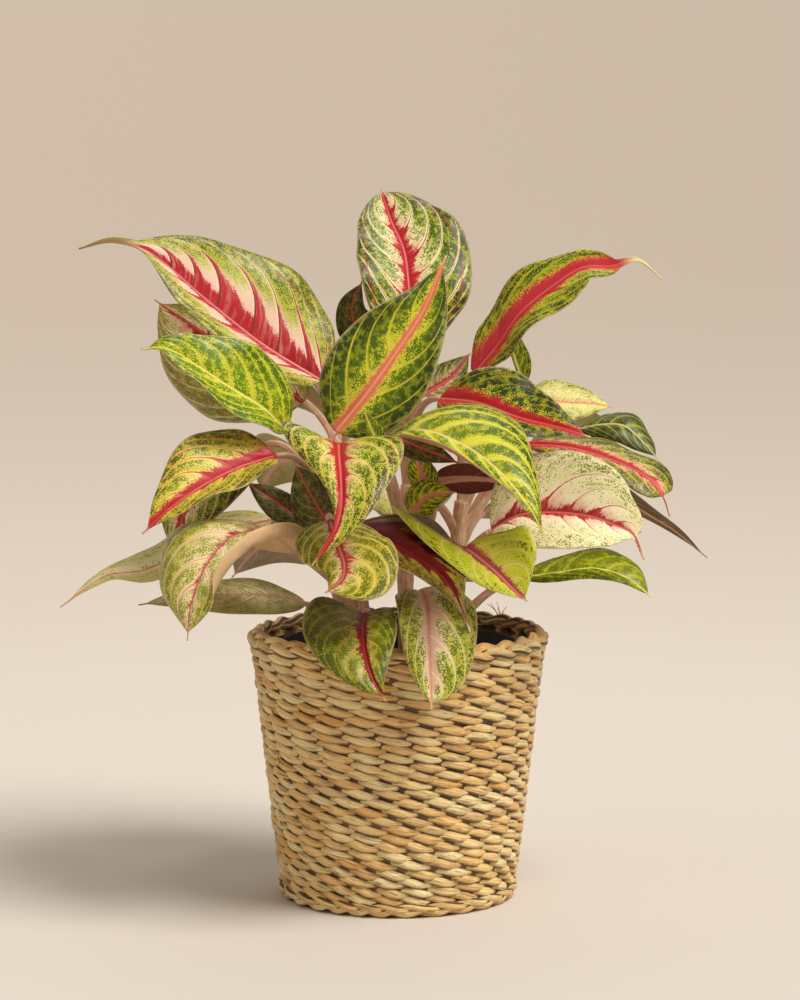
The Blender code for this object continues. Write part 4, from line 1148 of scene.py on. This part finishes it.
BULGE_UP = 0.3
SWELL_OUT = 0.25
SWELL_SIDE = 0.4
CORE_HALF = 1.8
# The core is coloured dark: painted shade in the gaps between the straws.
CORE_SHADE = 0.12
CORE_COLUMNS = 96
CORE_LEVELS = 8
CORE_PAST_TOP = 2.0
BOTTOM_PITCH = 6.2
BOTTOM_RADIUS = 84.0
BOTTOM_SEGMENTS = 72
BOTTOM_SIZE = (3.3, 2.7)
BOTTOM_RIPPLE = 0.12
BOTTOM_RIPPLES_PER_RADIAN = 20.0
BOTTOM_STRAWS_PER_RADIAN = 2.3
BOTTOM_OUTNESS = 0.6
STRAW_ENDS = 22
STRAW_END_WIDTHS = (1.1, 1.2, 1.1, 0.9, 0.25)
STRAW_END_SIDES = 6
STRAW_END_FLATNESS = 0.5
STRAW_END_LEVELS = (24.0, 198.0)
STRAW_END_LENGTHS = (6.0, 12.0)
STRAW_END_AHEAD = (0.7, 1.0)
STRAW_END_OUT = 0.3
STRAW_END_RISE = (-0.5, 0.4)
STRAW_END_SET = 1.6
STRAW_END_DROP = 1.5
STRAW_END_TUCK = 1.2
SPRIG_ROOT = (85.0, 74.0, 215.3)
SPRIG_WISPS = 7
SPRIG_STEPS = 9
SPRIG_WIDTHS = (0.55, 0.2)
SPRIG_LEANS = ((-0.5, 0.5), (-0.3, 0.5))
SPRIG_LENGTHS = (9.0, 19.0)
SPRIG_BENDS = ((-6.0, 6.0), (-4.0, 4.0))
SPRIG_DROOP = 3.0
BORDER_SEGMENTS = 400
BORDER_SIDES = 12
PLAIT_SWAY = 4.1
PLAIT_DEPTH = 2.2
PLAIT_THICK = 3.8
PLAIT_WIDE = 4.1
PLAIT_STRAWS = 3
PLAIT_UNEVENNESS = ((0.3, 3, 1.0), (0.2, 5, 2.0))
PLAIT_SWELL = 0.4
PLAIT_THICK_SWELL = 0.3
# How far out the plait's straws lie, which sets their painted shade.
PLAIT_OUTNESS = 0.7
PLAIT_OUTNESS_RANGE = 0.3

# Each straw has numbers of its own, counted from these, and a loose end lies open to the light
WALL_GRAIN = 0.5
BOTTOM_GRAIN = 900.5
STRAW_END_GRAIN = 1200.5
SPRIG_GRAIN = 1500.5
LOOSE = 2.0

# A plait runs round a ring with a radius and a height. Lean is the angle of its flat side.
Plait = namedtuple("Plait", "ring size lean twists grain")

RIM_PLAIT = Plait((115.0, 212.3), 1.0, math.radians(38.0), 10, 1400.5)
FOOT_PLAIT = Plait((93.0, 6.5), 0.76, math.radians(-62.0), 9, 1600.5)


def basket_radius(height):
    """The wall's outer radius at a height, as the CAD has it."""
    flare = (BASKET_TOP_RADIUS - BASKET_FOOT_RADIUS) * height / BASKET_WALL_TOP
    return BASKET_FOOT_RADIUS + flare - FOOT_TUCK * np.exp(-height / FOOT_TUCK_HEIGHT)


class StrawHeap:
    """Gathers rings of straw, and makes them one mesh with its UV maps."""

    def __init__(self):
        self.points, self.quads, self.uv, self.grain = [], [], [], []
        self.count = 0

    def add(self, rings, closed, grain, outness):
        """Rings of points along one straw, with a number and an outness for each ring; a low outness gets
        painted shade.
        """
        rows, sides = rings.shape[:2]
        middle = rings.mean(axis=1)
        distance = distances(np.concatenate([middle, middle[:1] if closed else middle[-1:]]))
        quads = ring_quads(rows, sides, closed)
        spans = len(quads)
        self.quads.append(quads.reshape(-1, 4) + self.count)
        self.points.append(rings.reshape(-1, 3))
        self.count += rows * sides
        self.uv.append(tube_corners(distance, spans, sides))
        number = np.repeat(grain[:spans], sides * 4)
        near, far = outness[:spans], np.roll(outness, -1)[:spans]
        corners = np.repeat(np.stack([near, near, far, far], axis=-1)[:, None, :], sides, axis=1)
        self.grain.append(np.stack([number, corners.reshape(-1)], axis=-1))

    def add_loose(self, rings, number):
        """A short straw that lies open to the light."""
        self.add(rings, False, np.full(len(rings), number), np.full(len(rings), LOOSE))

    def finish(self, name, node, material):
        """Makes the piece that stands for a node."""
        piece = add_mesh(name, np.concatenate(self.points), np.concatenate(self.quads))
        add_uv(piece.data, "straw", np.concatenate(self.uv))
        add_uv(piece.data, "grain", np.concatenate(self.grain))
        piece.data.materials.append(material)
        piece.data.shade_smooth()
        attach(piece, "root")
        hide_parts(node)


def section_rings(centres, out, side, half_out, half_side, sides):
    """Oval rings about centres, from two ways across and the half sizes along them."""
    turns = full_turn(sides)
    over = np.cos(turns)[None, :, None] * out[:, None, :] * half_out[:, None, None]
    along = np.sin(turns)[None, :, None] * side[:, None, :] * half_side[:, None, None]
    return centres[:, None, :] + over + along


def straw_material(name, under):
    """Dry seagrass: every straw its own tone and fibres along it, with painted shade where it dives under, in
    its creases, on its lower flank and along its edges.
    """
    material, n = new_material(name)
    along, turn = n.uv("straw")
    grain, outness = n.uv("grain")
    luck = n.chance(n.vector(grain, 1.0))
    tone = n.chance(n.vector(grain, 7.0, 3.0))
    crease = n.noise(n.vector(along * 0.35, turn * 7.0, grain), 1.3, 1.5)
    fibre = n.noise(n.vector(along * 0.55, turn * 18.0, grain), 1.6, 3.0, 0.62)
    fine = n.noise(n.vector(along * 2.0, turn * 60.0, grain), 1.6)
    patch = n.noise(n.vector(along * 0.5, turn, grain), 1.1)
    colour = n.mix(luck, (255, 212, 136), (255, 240, 180))
    colour = n.tint(colour, (232, 172, 88), tone, 0.55, 1.0, 0.8)
    colour = n.tint(colour, (214, 168, 108), tone, 0.3, 0.0, 0.7)
    colour = n.tint(colour, (170, 120, 62), fibre, 0.55, 0.3, 0.45)
    colour = n.tint(colour, (252, 232, 184), fine, 0.6, 0.75, 0.4)
    colour = n.tint(colour, (146, 98, 52), patch, 0.6, 0.78, 0.6)
    # Painted shade in the creases of each straw, where its bump is low.
    colour = n.tint(colour, (138, 94, 50), crease, 0.42, 0.28, 0.6)
    # Painted shade where a straw turns inwards and dives under its partner, and on the dark core between the
    # straws.
    colour = n.tint(colour, (74, 46, 22), outness + (patch - 0.5) * 0.16, 0.42, 0.06, 0.95)
    # Painted shade on the lower flank of each straw, by the amount that the wall's material asks for.
    flank = n.math("SINE", turn * (2 * math.pi))
    colour = n.tint(colour, (120, 78, 36), flank + (crease - 0.5) * 0.4, -0.3, -0.95, under)
    # Painted shade along the upper and lower edges of each woven straw, where it meets its neighbours.
    woven = n.step(outness, 1.6, 1.2)
    colour = n.tint(colour, (70, 40, 16), n.size(flank) + (crease - 0.5) * 0.25, 0.82, 0.98, woven * 0.95)
    height = crease * 1.6 + fibre * 0.7 + fine * 0.2
    n.surface(colour, height, n.blend(woven, 0.2, 1.0), 1.7, 0.34 + fibre * 0.25)
    return material


def draws(chance, most, count):
    """Random numbers from minus most to most."""
    return np.array([chance.uniform(-most, most) for _ in range(count)])


def slow_wave(chance, most, turns, periods):
    """A sum of waves round the basket, each with a random size and start."""
    return sum(chance.uniform(-most, most) * np.sin(period * turns + chance.uniform(0, ROW_START_RANGE))
               for period in periods)


def add_wall(chance, material):
    """The woven wall, its core coloured dark as painted shade, and its coiled bottom."""
    heap = StrawHeap()
    pitch = (RIM_WALL_TOP - BASKET_WALL_FOOT) / WEAVE_ROWS
    turns = full_turn(WEAVE_SEGMENTS)
    out = around(turns)
    for row in range(WEAVE_ROWS):
        start = chance.uniform(0.0, 2 * math.pi)
        level = BASKET_WALL_FOOT + (row + 0.5) * pitch
        sway = slow_wave(chance, ROW_SWAY, turns, ROW_SWAY_PERIODS)
        speed = slow_wave(chance, ROW_SPEED, turns, ROW_SPEED_PERIODS)
        for straw in (0, 1):
            phi = WEAVE_TWISTS * turns + math.pi * straw + start + speed
            number = (np.floor(phi / (2 * math.pi) + 0.5) % WEAVE_TWISTS).astype(int)
            grain = number + WALL_GRAIN + WEAVE_TWISTS * (2 * row + straw)
            # Front is 1 where a straw lies outermost and 0 where it dives under its partner; the straw
            # material paints shade where it is low.
            front = 0.5 + 0.5 * np.cos(phi)
            size = draws(chance, 1.0, WEAVE_TWISTS)[number] * front
            bulge = draws(chance, 1.0, WEAVE_TWISTS)[number] * front
            radius = basket_radius(level) - WEAVE_DEPTH + WEAVE_OUT * np.cos(phi) + BULGE_OUT * bulge
            height = level + sway - WEAVE_RISE * np.sin(phi) + BULGE_UP * bulge
            centres = out * radius[:, None] + UP * height[:, None]
            broad = (STRAW_HIGH_HALF - STRAW_LOW_HALF) * np.abs(np.cos(phi))
            side = unit(np.cross(out, ahead_round(centres)))
            half_out = STRAW_OUT_HALF + SWELL_OUT * size
            half_side = STRAW_LOW_HALF + broad + SWELL_SIDE * size
            rings = section_rings(centres, out, side, half_out, half_side, WEAVE_SIDES)
            heap.add(rings, True, grain, front)
    add_core(heap)
    add_bottom(heap)
    add_straw_ends(heap, chance)
    heap.finish("basket_weave", "basket", material)


def ahead_round(centres):
    """The way ahead at each point of a closed route."""
    return unit(np.roll(centres, -1, axis=0) - np.roll(centres, 1, axis=0))


def add_core(heap):
    """A thin wall inside the straws, so that no light comes through between them, coloured dark as painted
    shade in the gaps.
    """
    levels = np.linspace(BASKET_WALL_FOOT, RIM_WALL_TOP + CORE_PAST_TOP, CORE_LEVELS)
    middle = basket_radius(levels) - WEAVE_DEPTH
    profile = [(radius + CORE_HALF, level) for radius, level in zip(middle, levels)]
    profile += [(radius - CORE_HALF, level) for radius, level in zip(middle[::-1], levels[::-1])]
    rings = turned_rings(profile, CORE_COLUMNS).swapaxes(0, 1)
    heap.add(rings, True, np.full(CORE_COLUMNS, WALL_GRAIN), np.full(CORE_COLUMNS, CORE_SHADE))


def add_bottom(heap):
    """A rope laid in a flat coil, which is the basket's bottom."""
    coils = BOTTOM_RADIUS / BOTTOM_PITCH
    turns = np.linspace(0.0, 2 * math.pi * coils, int(BOTTOM_SEGMENTS * coils))
    radius = BOTTOM_RADIUS - BOTTOM_PITCH * turns / (2 * math.pi)
    out = around(turns)
    centres = out * radius[:, None] + UP * (BASKET_FLOOR / 2)
    ripple = BOTTOM_RIPPLE * np.sin(turns * BOTTOM_RIPPLES_PER_RADIAN)
    half_out, half_side = (half + ripple for half in BOTTOM_SIZE)
    rings = section_rings(centres, out, np.tile(UP, (len(turns), 1)), half_out, half_side, WEAVE_SIDES)
    grain = np.floor(turns * BOTTOM_STRAWS_PER_RADIAN) + BOTTOM_GRAIN
    heap.add(rings, False, grain, np.full(len(turns), BOTTOM_OUTNESS))


def add_straw_ends(heap, chance):
    """Short cut ends that stick out of the weave."""
    width = np.array(STRAW_END_WIDTHS)
    count = len(width)
    steps = np.linspace(0.0, 1.0, count)[:, None]
    for number in range(STRAW_ENDS):
        turn = chance.uniform(0.0, 2 * math.pi)
        level = chance.uniform(*STRAW_END_LEVELS)
        out = around(np.array([turn]))[0]
        along = np.array([-out[1], out[0], 0.0])
        way = along * chance.uniform(*STRAW_END_AHEAD) + out * STRAW_END_OUT
        way = unit(way + UP * chance.uniform(*STRAW_END_RISE))
        length = chance.uniform(*STRAW_END_LENGTHS)
        start = out * (basket_radius(level) - STRAW_END_SET) + UP * level
        centres = start + way * length * steps - UP * STRAW_END_DROP * steps ** 2
        centres = centres - out * STRAW_END_TUCK * steps
        across = unit(np.cross(way, out))
        outs, sides = np.tile(out, (count, 1)), np.tile(across, (count, 1))
        rings = section_rings(centres, outs, sides, width * STRAW_END_FLATNESS, width, STRAW_END_SIDES)
        heap.add_loose(rings, STRAW_END_GRAIN + number)


def add_plait(heap, chance, plait):
    """A plait of three straws along a ring."""
    turns = full_turn(BORDER_SEGMENTS)
    out = around(turns)
    lateral = out * math.cos(plait.lean) - UP * math.sin(plait.lean)
    depth = out * math.sin(plait.lean) + UP * math.cos(plait.lean)
    middle = out * plait.ring[0] + UP * plait.ring[1]
    for straw in range(PLAIT_STRAWS):
        phi = plait.twists * turns + 2 * math.pi * straw / PLAIT_STRAWS
        for share, period, start in PLAIT_UNEVENNESS:
            phi = phi + share * np.sin(period * turns + start)
        aside, deep = PLAIT_SWAY * np.sin(phi)[:, None], PLAIT_DEPTH * np.sin(2 * phi)[:, None]
        centres = middle + plait.size * (lateral * aside + depth * deep)
        number = (np.floor(phi / math.pi) % (2 * plait.twists)).astype(int)
        grain = number + plait.grain + 2 * plait.twists * straw
        swell = draws(chance, PLAIT_SWELL, 2 * plait.twists)[number] * np.abs(np.sin(phi))
        wide = unit(np.cross(ahead_round(centres), depth))
        rings = section_rings(centres, depth, wide, plait.size * (PLAIT_THICK + PLAIT_THICK_SWELL * swell),
                              plait.size * (PLAIT_WIDE + swell), BORDER_SIDES)
        # The outness follows how deep each straw lies in the plait, and the straw material paints shade where
        # it is low.
        heap.add(rings, True, grain, PLAIT_OUTNESS + PLAIT_OUTNESS_RANGE * np.sin(2 * phi))


def add_sprig(heap, chance):
    """Dry wisps that rise from the rim at the back on the right."""
    steps = np.linspace(0.0, 1.0, SPRIG_STEPS)[:, None]
    for number in range(SPRIG_WISPS):
        lean = np.array([*(chance.uniform(*span) for span in SPRIG_LEANS), 1.0])
        reach = chance.uniform(*SPRIG_LENGTHS)
        bend = np.array([*(chance.uniform(*span) for span in SPRIG_BENDS), -SPRIG_DROOP])
        centres = np.array(SPRIG_ROOT) + unit(lean) * reach * steps + bend * steps ** 2
        rings = tube(centres, np.linspace(*SPRIG_WIDTHS, SPRIG_STEPS), STRAW_END_SIDES)
        heap.add_loose(rings, SPRIG_GRAIN + number)


def dress_basket():
    """The woven wall, the plait over its top with a dry sprig, and the plait that it stands on."""
    chance = random.Random(BASKET_SEED)
    add_wall(chance, straw_material("straw_wall", 0.7))
    plaited = straw_material("straw_plait", 0.0)
    rim, foot = StrawHeap(), StrawHeap()
    add_plait(rim, chance, RIM_PLAIT)
    add_sprig(rim, chance)
    rim.finish("basket_rim_plait", "basket_border", plaited)
    add_plait(foot, chance, FOOT_PLAIT)
    foot.finish("basket_foot_plait", "basket_foot", plaited)


# Pot and soil
SOIL_COLUMNS = 120
POT_COLUMNS = 128
POT_PROFILE = ((0.0, 8.6), (70.4, 8.6), (93.0, 194.0), (95.4, 194.0), (95.4, 207.2), (96.2, 208.0),
               (97.0, 207.2), (97.0, 192.4), (94.6, 192.4), (94.0, 186.0), (72.0, 6.6), (0.0, 6.6))
POT_ROUNDING = 0.4
POT_ROUNDING_STEPS = 2
WELD = 0.01
SOIL_SEED = 11
SOIL_RADIUS = 91.6
SOIL_RINGS = 46
SOIL_SINK = 1.6
SOIL_UNDERSIDE = ((91.0, 170.0), (70.0, 9.4), (0.0, 9.4))
CRUMBS = 620
CHIPS = 110
CRUMB_SIZES = (0.8, 2.3)
CHIP_SHAPE = (2.2, 1.1, 0.5)
CRUMB_ROUGHNESS = 0.25
CRUMB_MARGIN = 4.0
CRUMB_SINK = 1.2

# The soil's bumps: height, turns per millimetre to the right and back, and start
SOIL_BUMPS = ((0.7, 0.11, 0.05, 0.3), (0.6, -0.07, 0.16, 1.2), (0.45, 0.31, -0.22, 2.0),
              (0.35, 0.22, 0.47, 0.7), (0.3, -0.63, 0.35, 1.9), (0.25, 0.9, 0.71, 0.2),
              (0.22, -1.1, 1.3, 0.9))


def pot_material():
    """Black moulded plastic with fine scratches and a little dust."""
    material, n = new_material("pot")
    dust = n.noise(n.place(), 60.0, 4.0, 0.6)
    colour = n.tint((20, 21, 23), (60, 56, 50), dust, 0.5, 0.75, 0.35)
    n.surface(colour, n.noise(n.place(), 900.0), 0.25, 0.3, 0.38 + dust * 0.3)
    return material


def dress_pot():
    """The nursery pot, with a rounded lip."""
    rings = turned_rings(POT_PROFILE, POT_COLUMNS)
    quads = ring_quads(len(POT_PROFILE), POT_COLUMNS).reshape(-1, 4)
    piece = add_mesh("nursery_pot_turned", rings.reshape(-1, 3), quads)
    shape = bmesh.new()
    shape.from_mesh(piece.data)
    bmesh.ops.remove_doubles(shape, verts=shape.verts[:], dist=WELD * MM)
    bmesh.ops.recalc_face_normals(shape, faces=shape.faces[:])
    shape.to_mesh(piece.data)
    shape.free()
    bevel = piece.modifiers.new("rounding", "BEVEL")
    bevel.width = POT_ROUNDING * MM
    bevel.segments = POT_ROUNDING_STEPS
    bevel.limit_method = "ANGLE"
    mesh = evaluated_mesh(piece)
    piece.modifiers.clear()
    piece.data = mesh
    mesh.shade_smooth()
    mesh.materials.append(pot_material())
    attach(piece, "root")
    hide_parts("nursery_pot")


def soil_material():
    """Dark peat, with lighter bits."""
    material, n = new_material("soil")
    lumps = n.noise(n.place(), 240.0, 5.0, 0.7)
    colour = n.mix(n.step(lumps, 0.35, 0.7), (34, 24, 18), (86, 62, 44))
    colour = n.tint(colour, (112, 86, 62), n.noise(n.place(), 45.0, 3.0), 0.5, 0.8, 0.5)
    n.surface(colour, lumps, 0.9, 2.0, 0.95)
    return material


def soil_rings():
    """The bed's rings: an uneven top, and a plain side and underside."""
    top = [(radius, SOIL_TOP - SOIL_SINK) for radius in np.linspace(0.0, SOIL_RADIUS, SOIL_RINGS)]
    rings = turned_rings(top + list(SOIL_UNDERSIDE), SOIL_COLUMNS)
    x, y = rings[:SOIL_RINGS, :, 0], rings[:SOIL_RINGS, :, 1]
    rings[:SOIL_RINGS, :, 2] += sum(size * np.sin(x * a + y * b + c) for size, a, b, c in SOIL_BUMPS)
    return rings


def crumb_ball():
    """The corners and faces of a small ball."""
    shape = bmesh.new()
    bmesh.ops.create_icosphere(shape, subdivisions=1, radius=1.0)
    ball = np.array([corner.co[:] for corner in shape.verts])
    faces = [[corner.index for corner in face.verts] for face in shape.faces]
    shape.free()
    return ball, faces


def dress_soil():
    """An uneven bed of soil with crumbs and chips of bark on it."""
    chance = random.Random(SOIL_SEED)
    rings = soil_rings()
    points = [rings.reshape(-1, 3)]
    faces = [tuple(quad) for quad in ring_quads(len(rings), SOIL_COLUMNS).reshape(-1, 4)]
    count = len(points[0])
    ball, ball_faces = crumb_ball()
    for number in range(CRUMBS + CHIPS):
        size = np.array([chance.uniform(*CRUMB_SIZES) for _ in range(3)])
        if number >= CRUMBS:
            size *= CHIP_SHAPE
        turn = chance.uniform(0.0, 2 * math.pi)
        radius = math.sqrt(chance.random()) * (SOIL_RADIUS - CRUMB_MARGIN)
        lump = ball * (1.0 + draws(chance, CRUMB_ROUGHNESS, len(ball))[:, None]) * size
        spin = chance.uniform(0.0, math.pi)
        x = lump[:, 0] * math.cos(spin) - lump[:, 1] * math.sin(spin)
        y = lump[:, 0] * math.sin(spin) + lump[:, 1] * math.cos(spin)
        place = np.array([radius * math.sin(turn), -radius * math.cos(turn), SOIL_TOP - CRUMB_SINK])
        points.append(np.stack([x, y, lump[:, 2]], axis=-1) + place)
        faces += [tuple(corner + count for corner in face) for face in ball_faces]
        count += len(ball)
    piece = add_mesh("soil_bed", np.concatenate(points), faces)
    piece.data.materials.append(soil_material())
    piece.data.shade_smooth()
    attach(piece, "root")
    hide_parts("soil")


# Floor, lights and camera, in metres
FLOOR_FLAT = 1.6
FLOOR_EDGE = 11.0
FLOOR_CURVE = 20.0
FLOOR_RINGS = 48
FLOOR_SIDES = 96
LIT_POINT = (0.0, 0.0, 0.3)
WORLD_COLOUR = (1.0, 0.93, 0.83, 1.0)
WORLD_STRENGTH = 0.38
CAMERA_PLACE = (0.0016, -2.6, 0.600)
CAMERA_PITCH = math.radians(90.0 - 6.08)
CAMERA_LENS = 116.28

# A warm key light from the right, a fill from the left and a soft light behind. Spread is
# the sun's angle, or the width of an area light.
Lamp = namedtuple("Lamp", "name kind spread place energy colour")

LAMPS = (
    Lamp("key", "SUN", math.radians(30.0), (1.45, -1.0, 2.9), 2.95, (1.0, 0.955, 0.895)),
    Lamp("fill", "AREA", 2.0, (-2.2, -1.8, 1.3), 3.0, (1.0, 0.94, 0.86)),
    Lamp("back", "AREA", 1.6, (0.3, 1.7, 2.8), 10.0, (1.0, 0.96, 0.92)),
)


def stage_material():
    """Plain warm grey paper, with painted shade that makes it a little darker far away."""
    material, n = new_material("paper")
    colour = n.mix(n.noise(n.place(), 1.2, 4.0, 0.6), (211, 203, 194), (216, 209, 201))
    # Painted shade: the paper turns darker with distance, where the light would fall off.
    away = n.add("ShaderNodeVectorMath", {0: n.place()}, output="Value", operation="LENGTH")
    colour = n.mix(n.step(away, 0.1, 4.4), colour, (187, 175, 163))
    n.surface(colour, n.noise(n.place(), 260.0), 0.15, 0.4, 0.85, {"Specular IOR Level": 0.2})
    return material


def add_stage():
    """A round floor that rises gently towards its edge, so that it fills the view from every side."""
    away = np.linspace(FLOOR_FLAT, FLOOR_EDGE, FLOOR_RINGS)
    rise = (away - FLOOR_FLAT) ** 2 / FLOOR_CURVE
    rings = turned_rings(np.stack([away, rise], axis=-1), FLOOR_SIDES)
    points = [(0.0, 0.0, 0.0), *rings.reshape(-1, 3).tolist()]
    faces = [(0, 1 + k, 1 + (k + 1) % FLOOR_SIDES) for k in range(FLOOR_SIDES)]
    faces += [tuple(quad) for quad in (ring_quads(FLOOR_RINGS, FLOOR_SIDES) + 1).reshape(-1, 4)[:, ::-1]]
    mesh = bpy.data.meshes.new("floor")
    mesh.from_pydata(points, [], faces)
    mesh.shade_smooth()
    mesh.materials.append(stage_material())
    floor = add_object("floor", mesh)


def aim(thing, target):
    """Turns a light or camera to face a point."""
    way = np.asarray(target) - np.asarray(thing.location)
    flat = math.hypot(way[0], way[1])
    thing.rotation_euler = (math.pi / 2 + math.atan2(way[2], flat), 0.0, math.atan2(-way[0], way[1]))


def add_lights():
    """The lamps and a dim even world."""
    for lamp in LAMPS:
        data = bpy.data.lights.new(lamp.name, lamp.kind)
        setattr(data, "angle" if lamp.kind == "SUN" else "size", lamp.spread)
        data.energy = lamp.energy
        data.color = lamp.colour
        light = add_object(lamp.name, data)
        light.location = lamp.place
        aim(light, LIT_POINT)
    world = bpy.data.worlds.new("studio")
    world.use_nodes = True
    background = world.node_tree.nodes["Background"]
    background.inputs["Color"].default_value = WORLD_COLOUR
    background.inputs["Strength"].default_value = WORLD_STRENGTH
    bpy.context.scene.world = world


def add_camera():
    """The camera, where the photograph was taken from."""
    data = bpy.data.cameras.new("camera")
    data.sensor_fit = "AUTO"
    data.lens = CAMERA_LENS
    data.dof.use_dof = False
    camera = add_object("camera", data)
    camera.location = CAMERA_PLACE
    camera.rotation_euler = (CAMERA_PITCH, 0.0, 0.0)
    bpy.context.scene.camera = camera


dress_leaves()
dress_shoots()
dress_basket()
dress_pot()
dress_soil()
add_stage()
add_lights()
add_camera()
bpy.context.scene.view_settings.view_transform = "Standard"

bpy.context.view_layer.update()
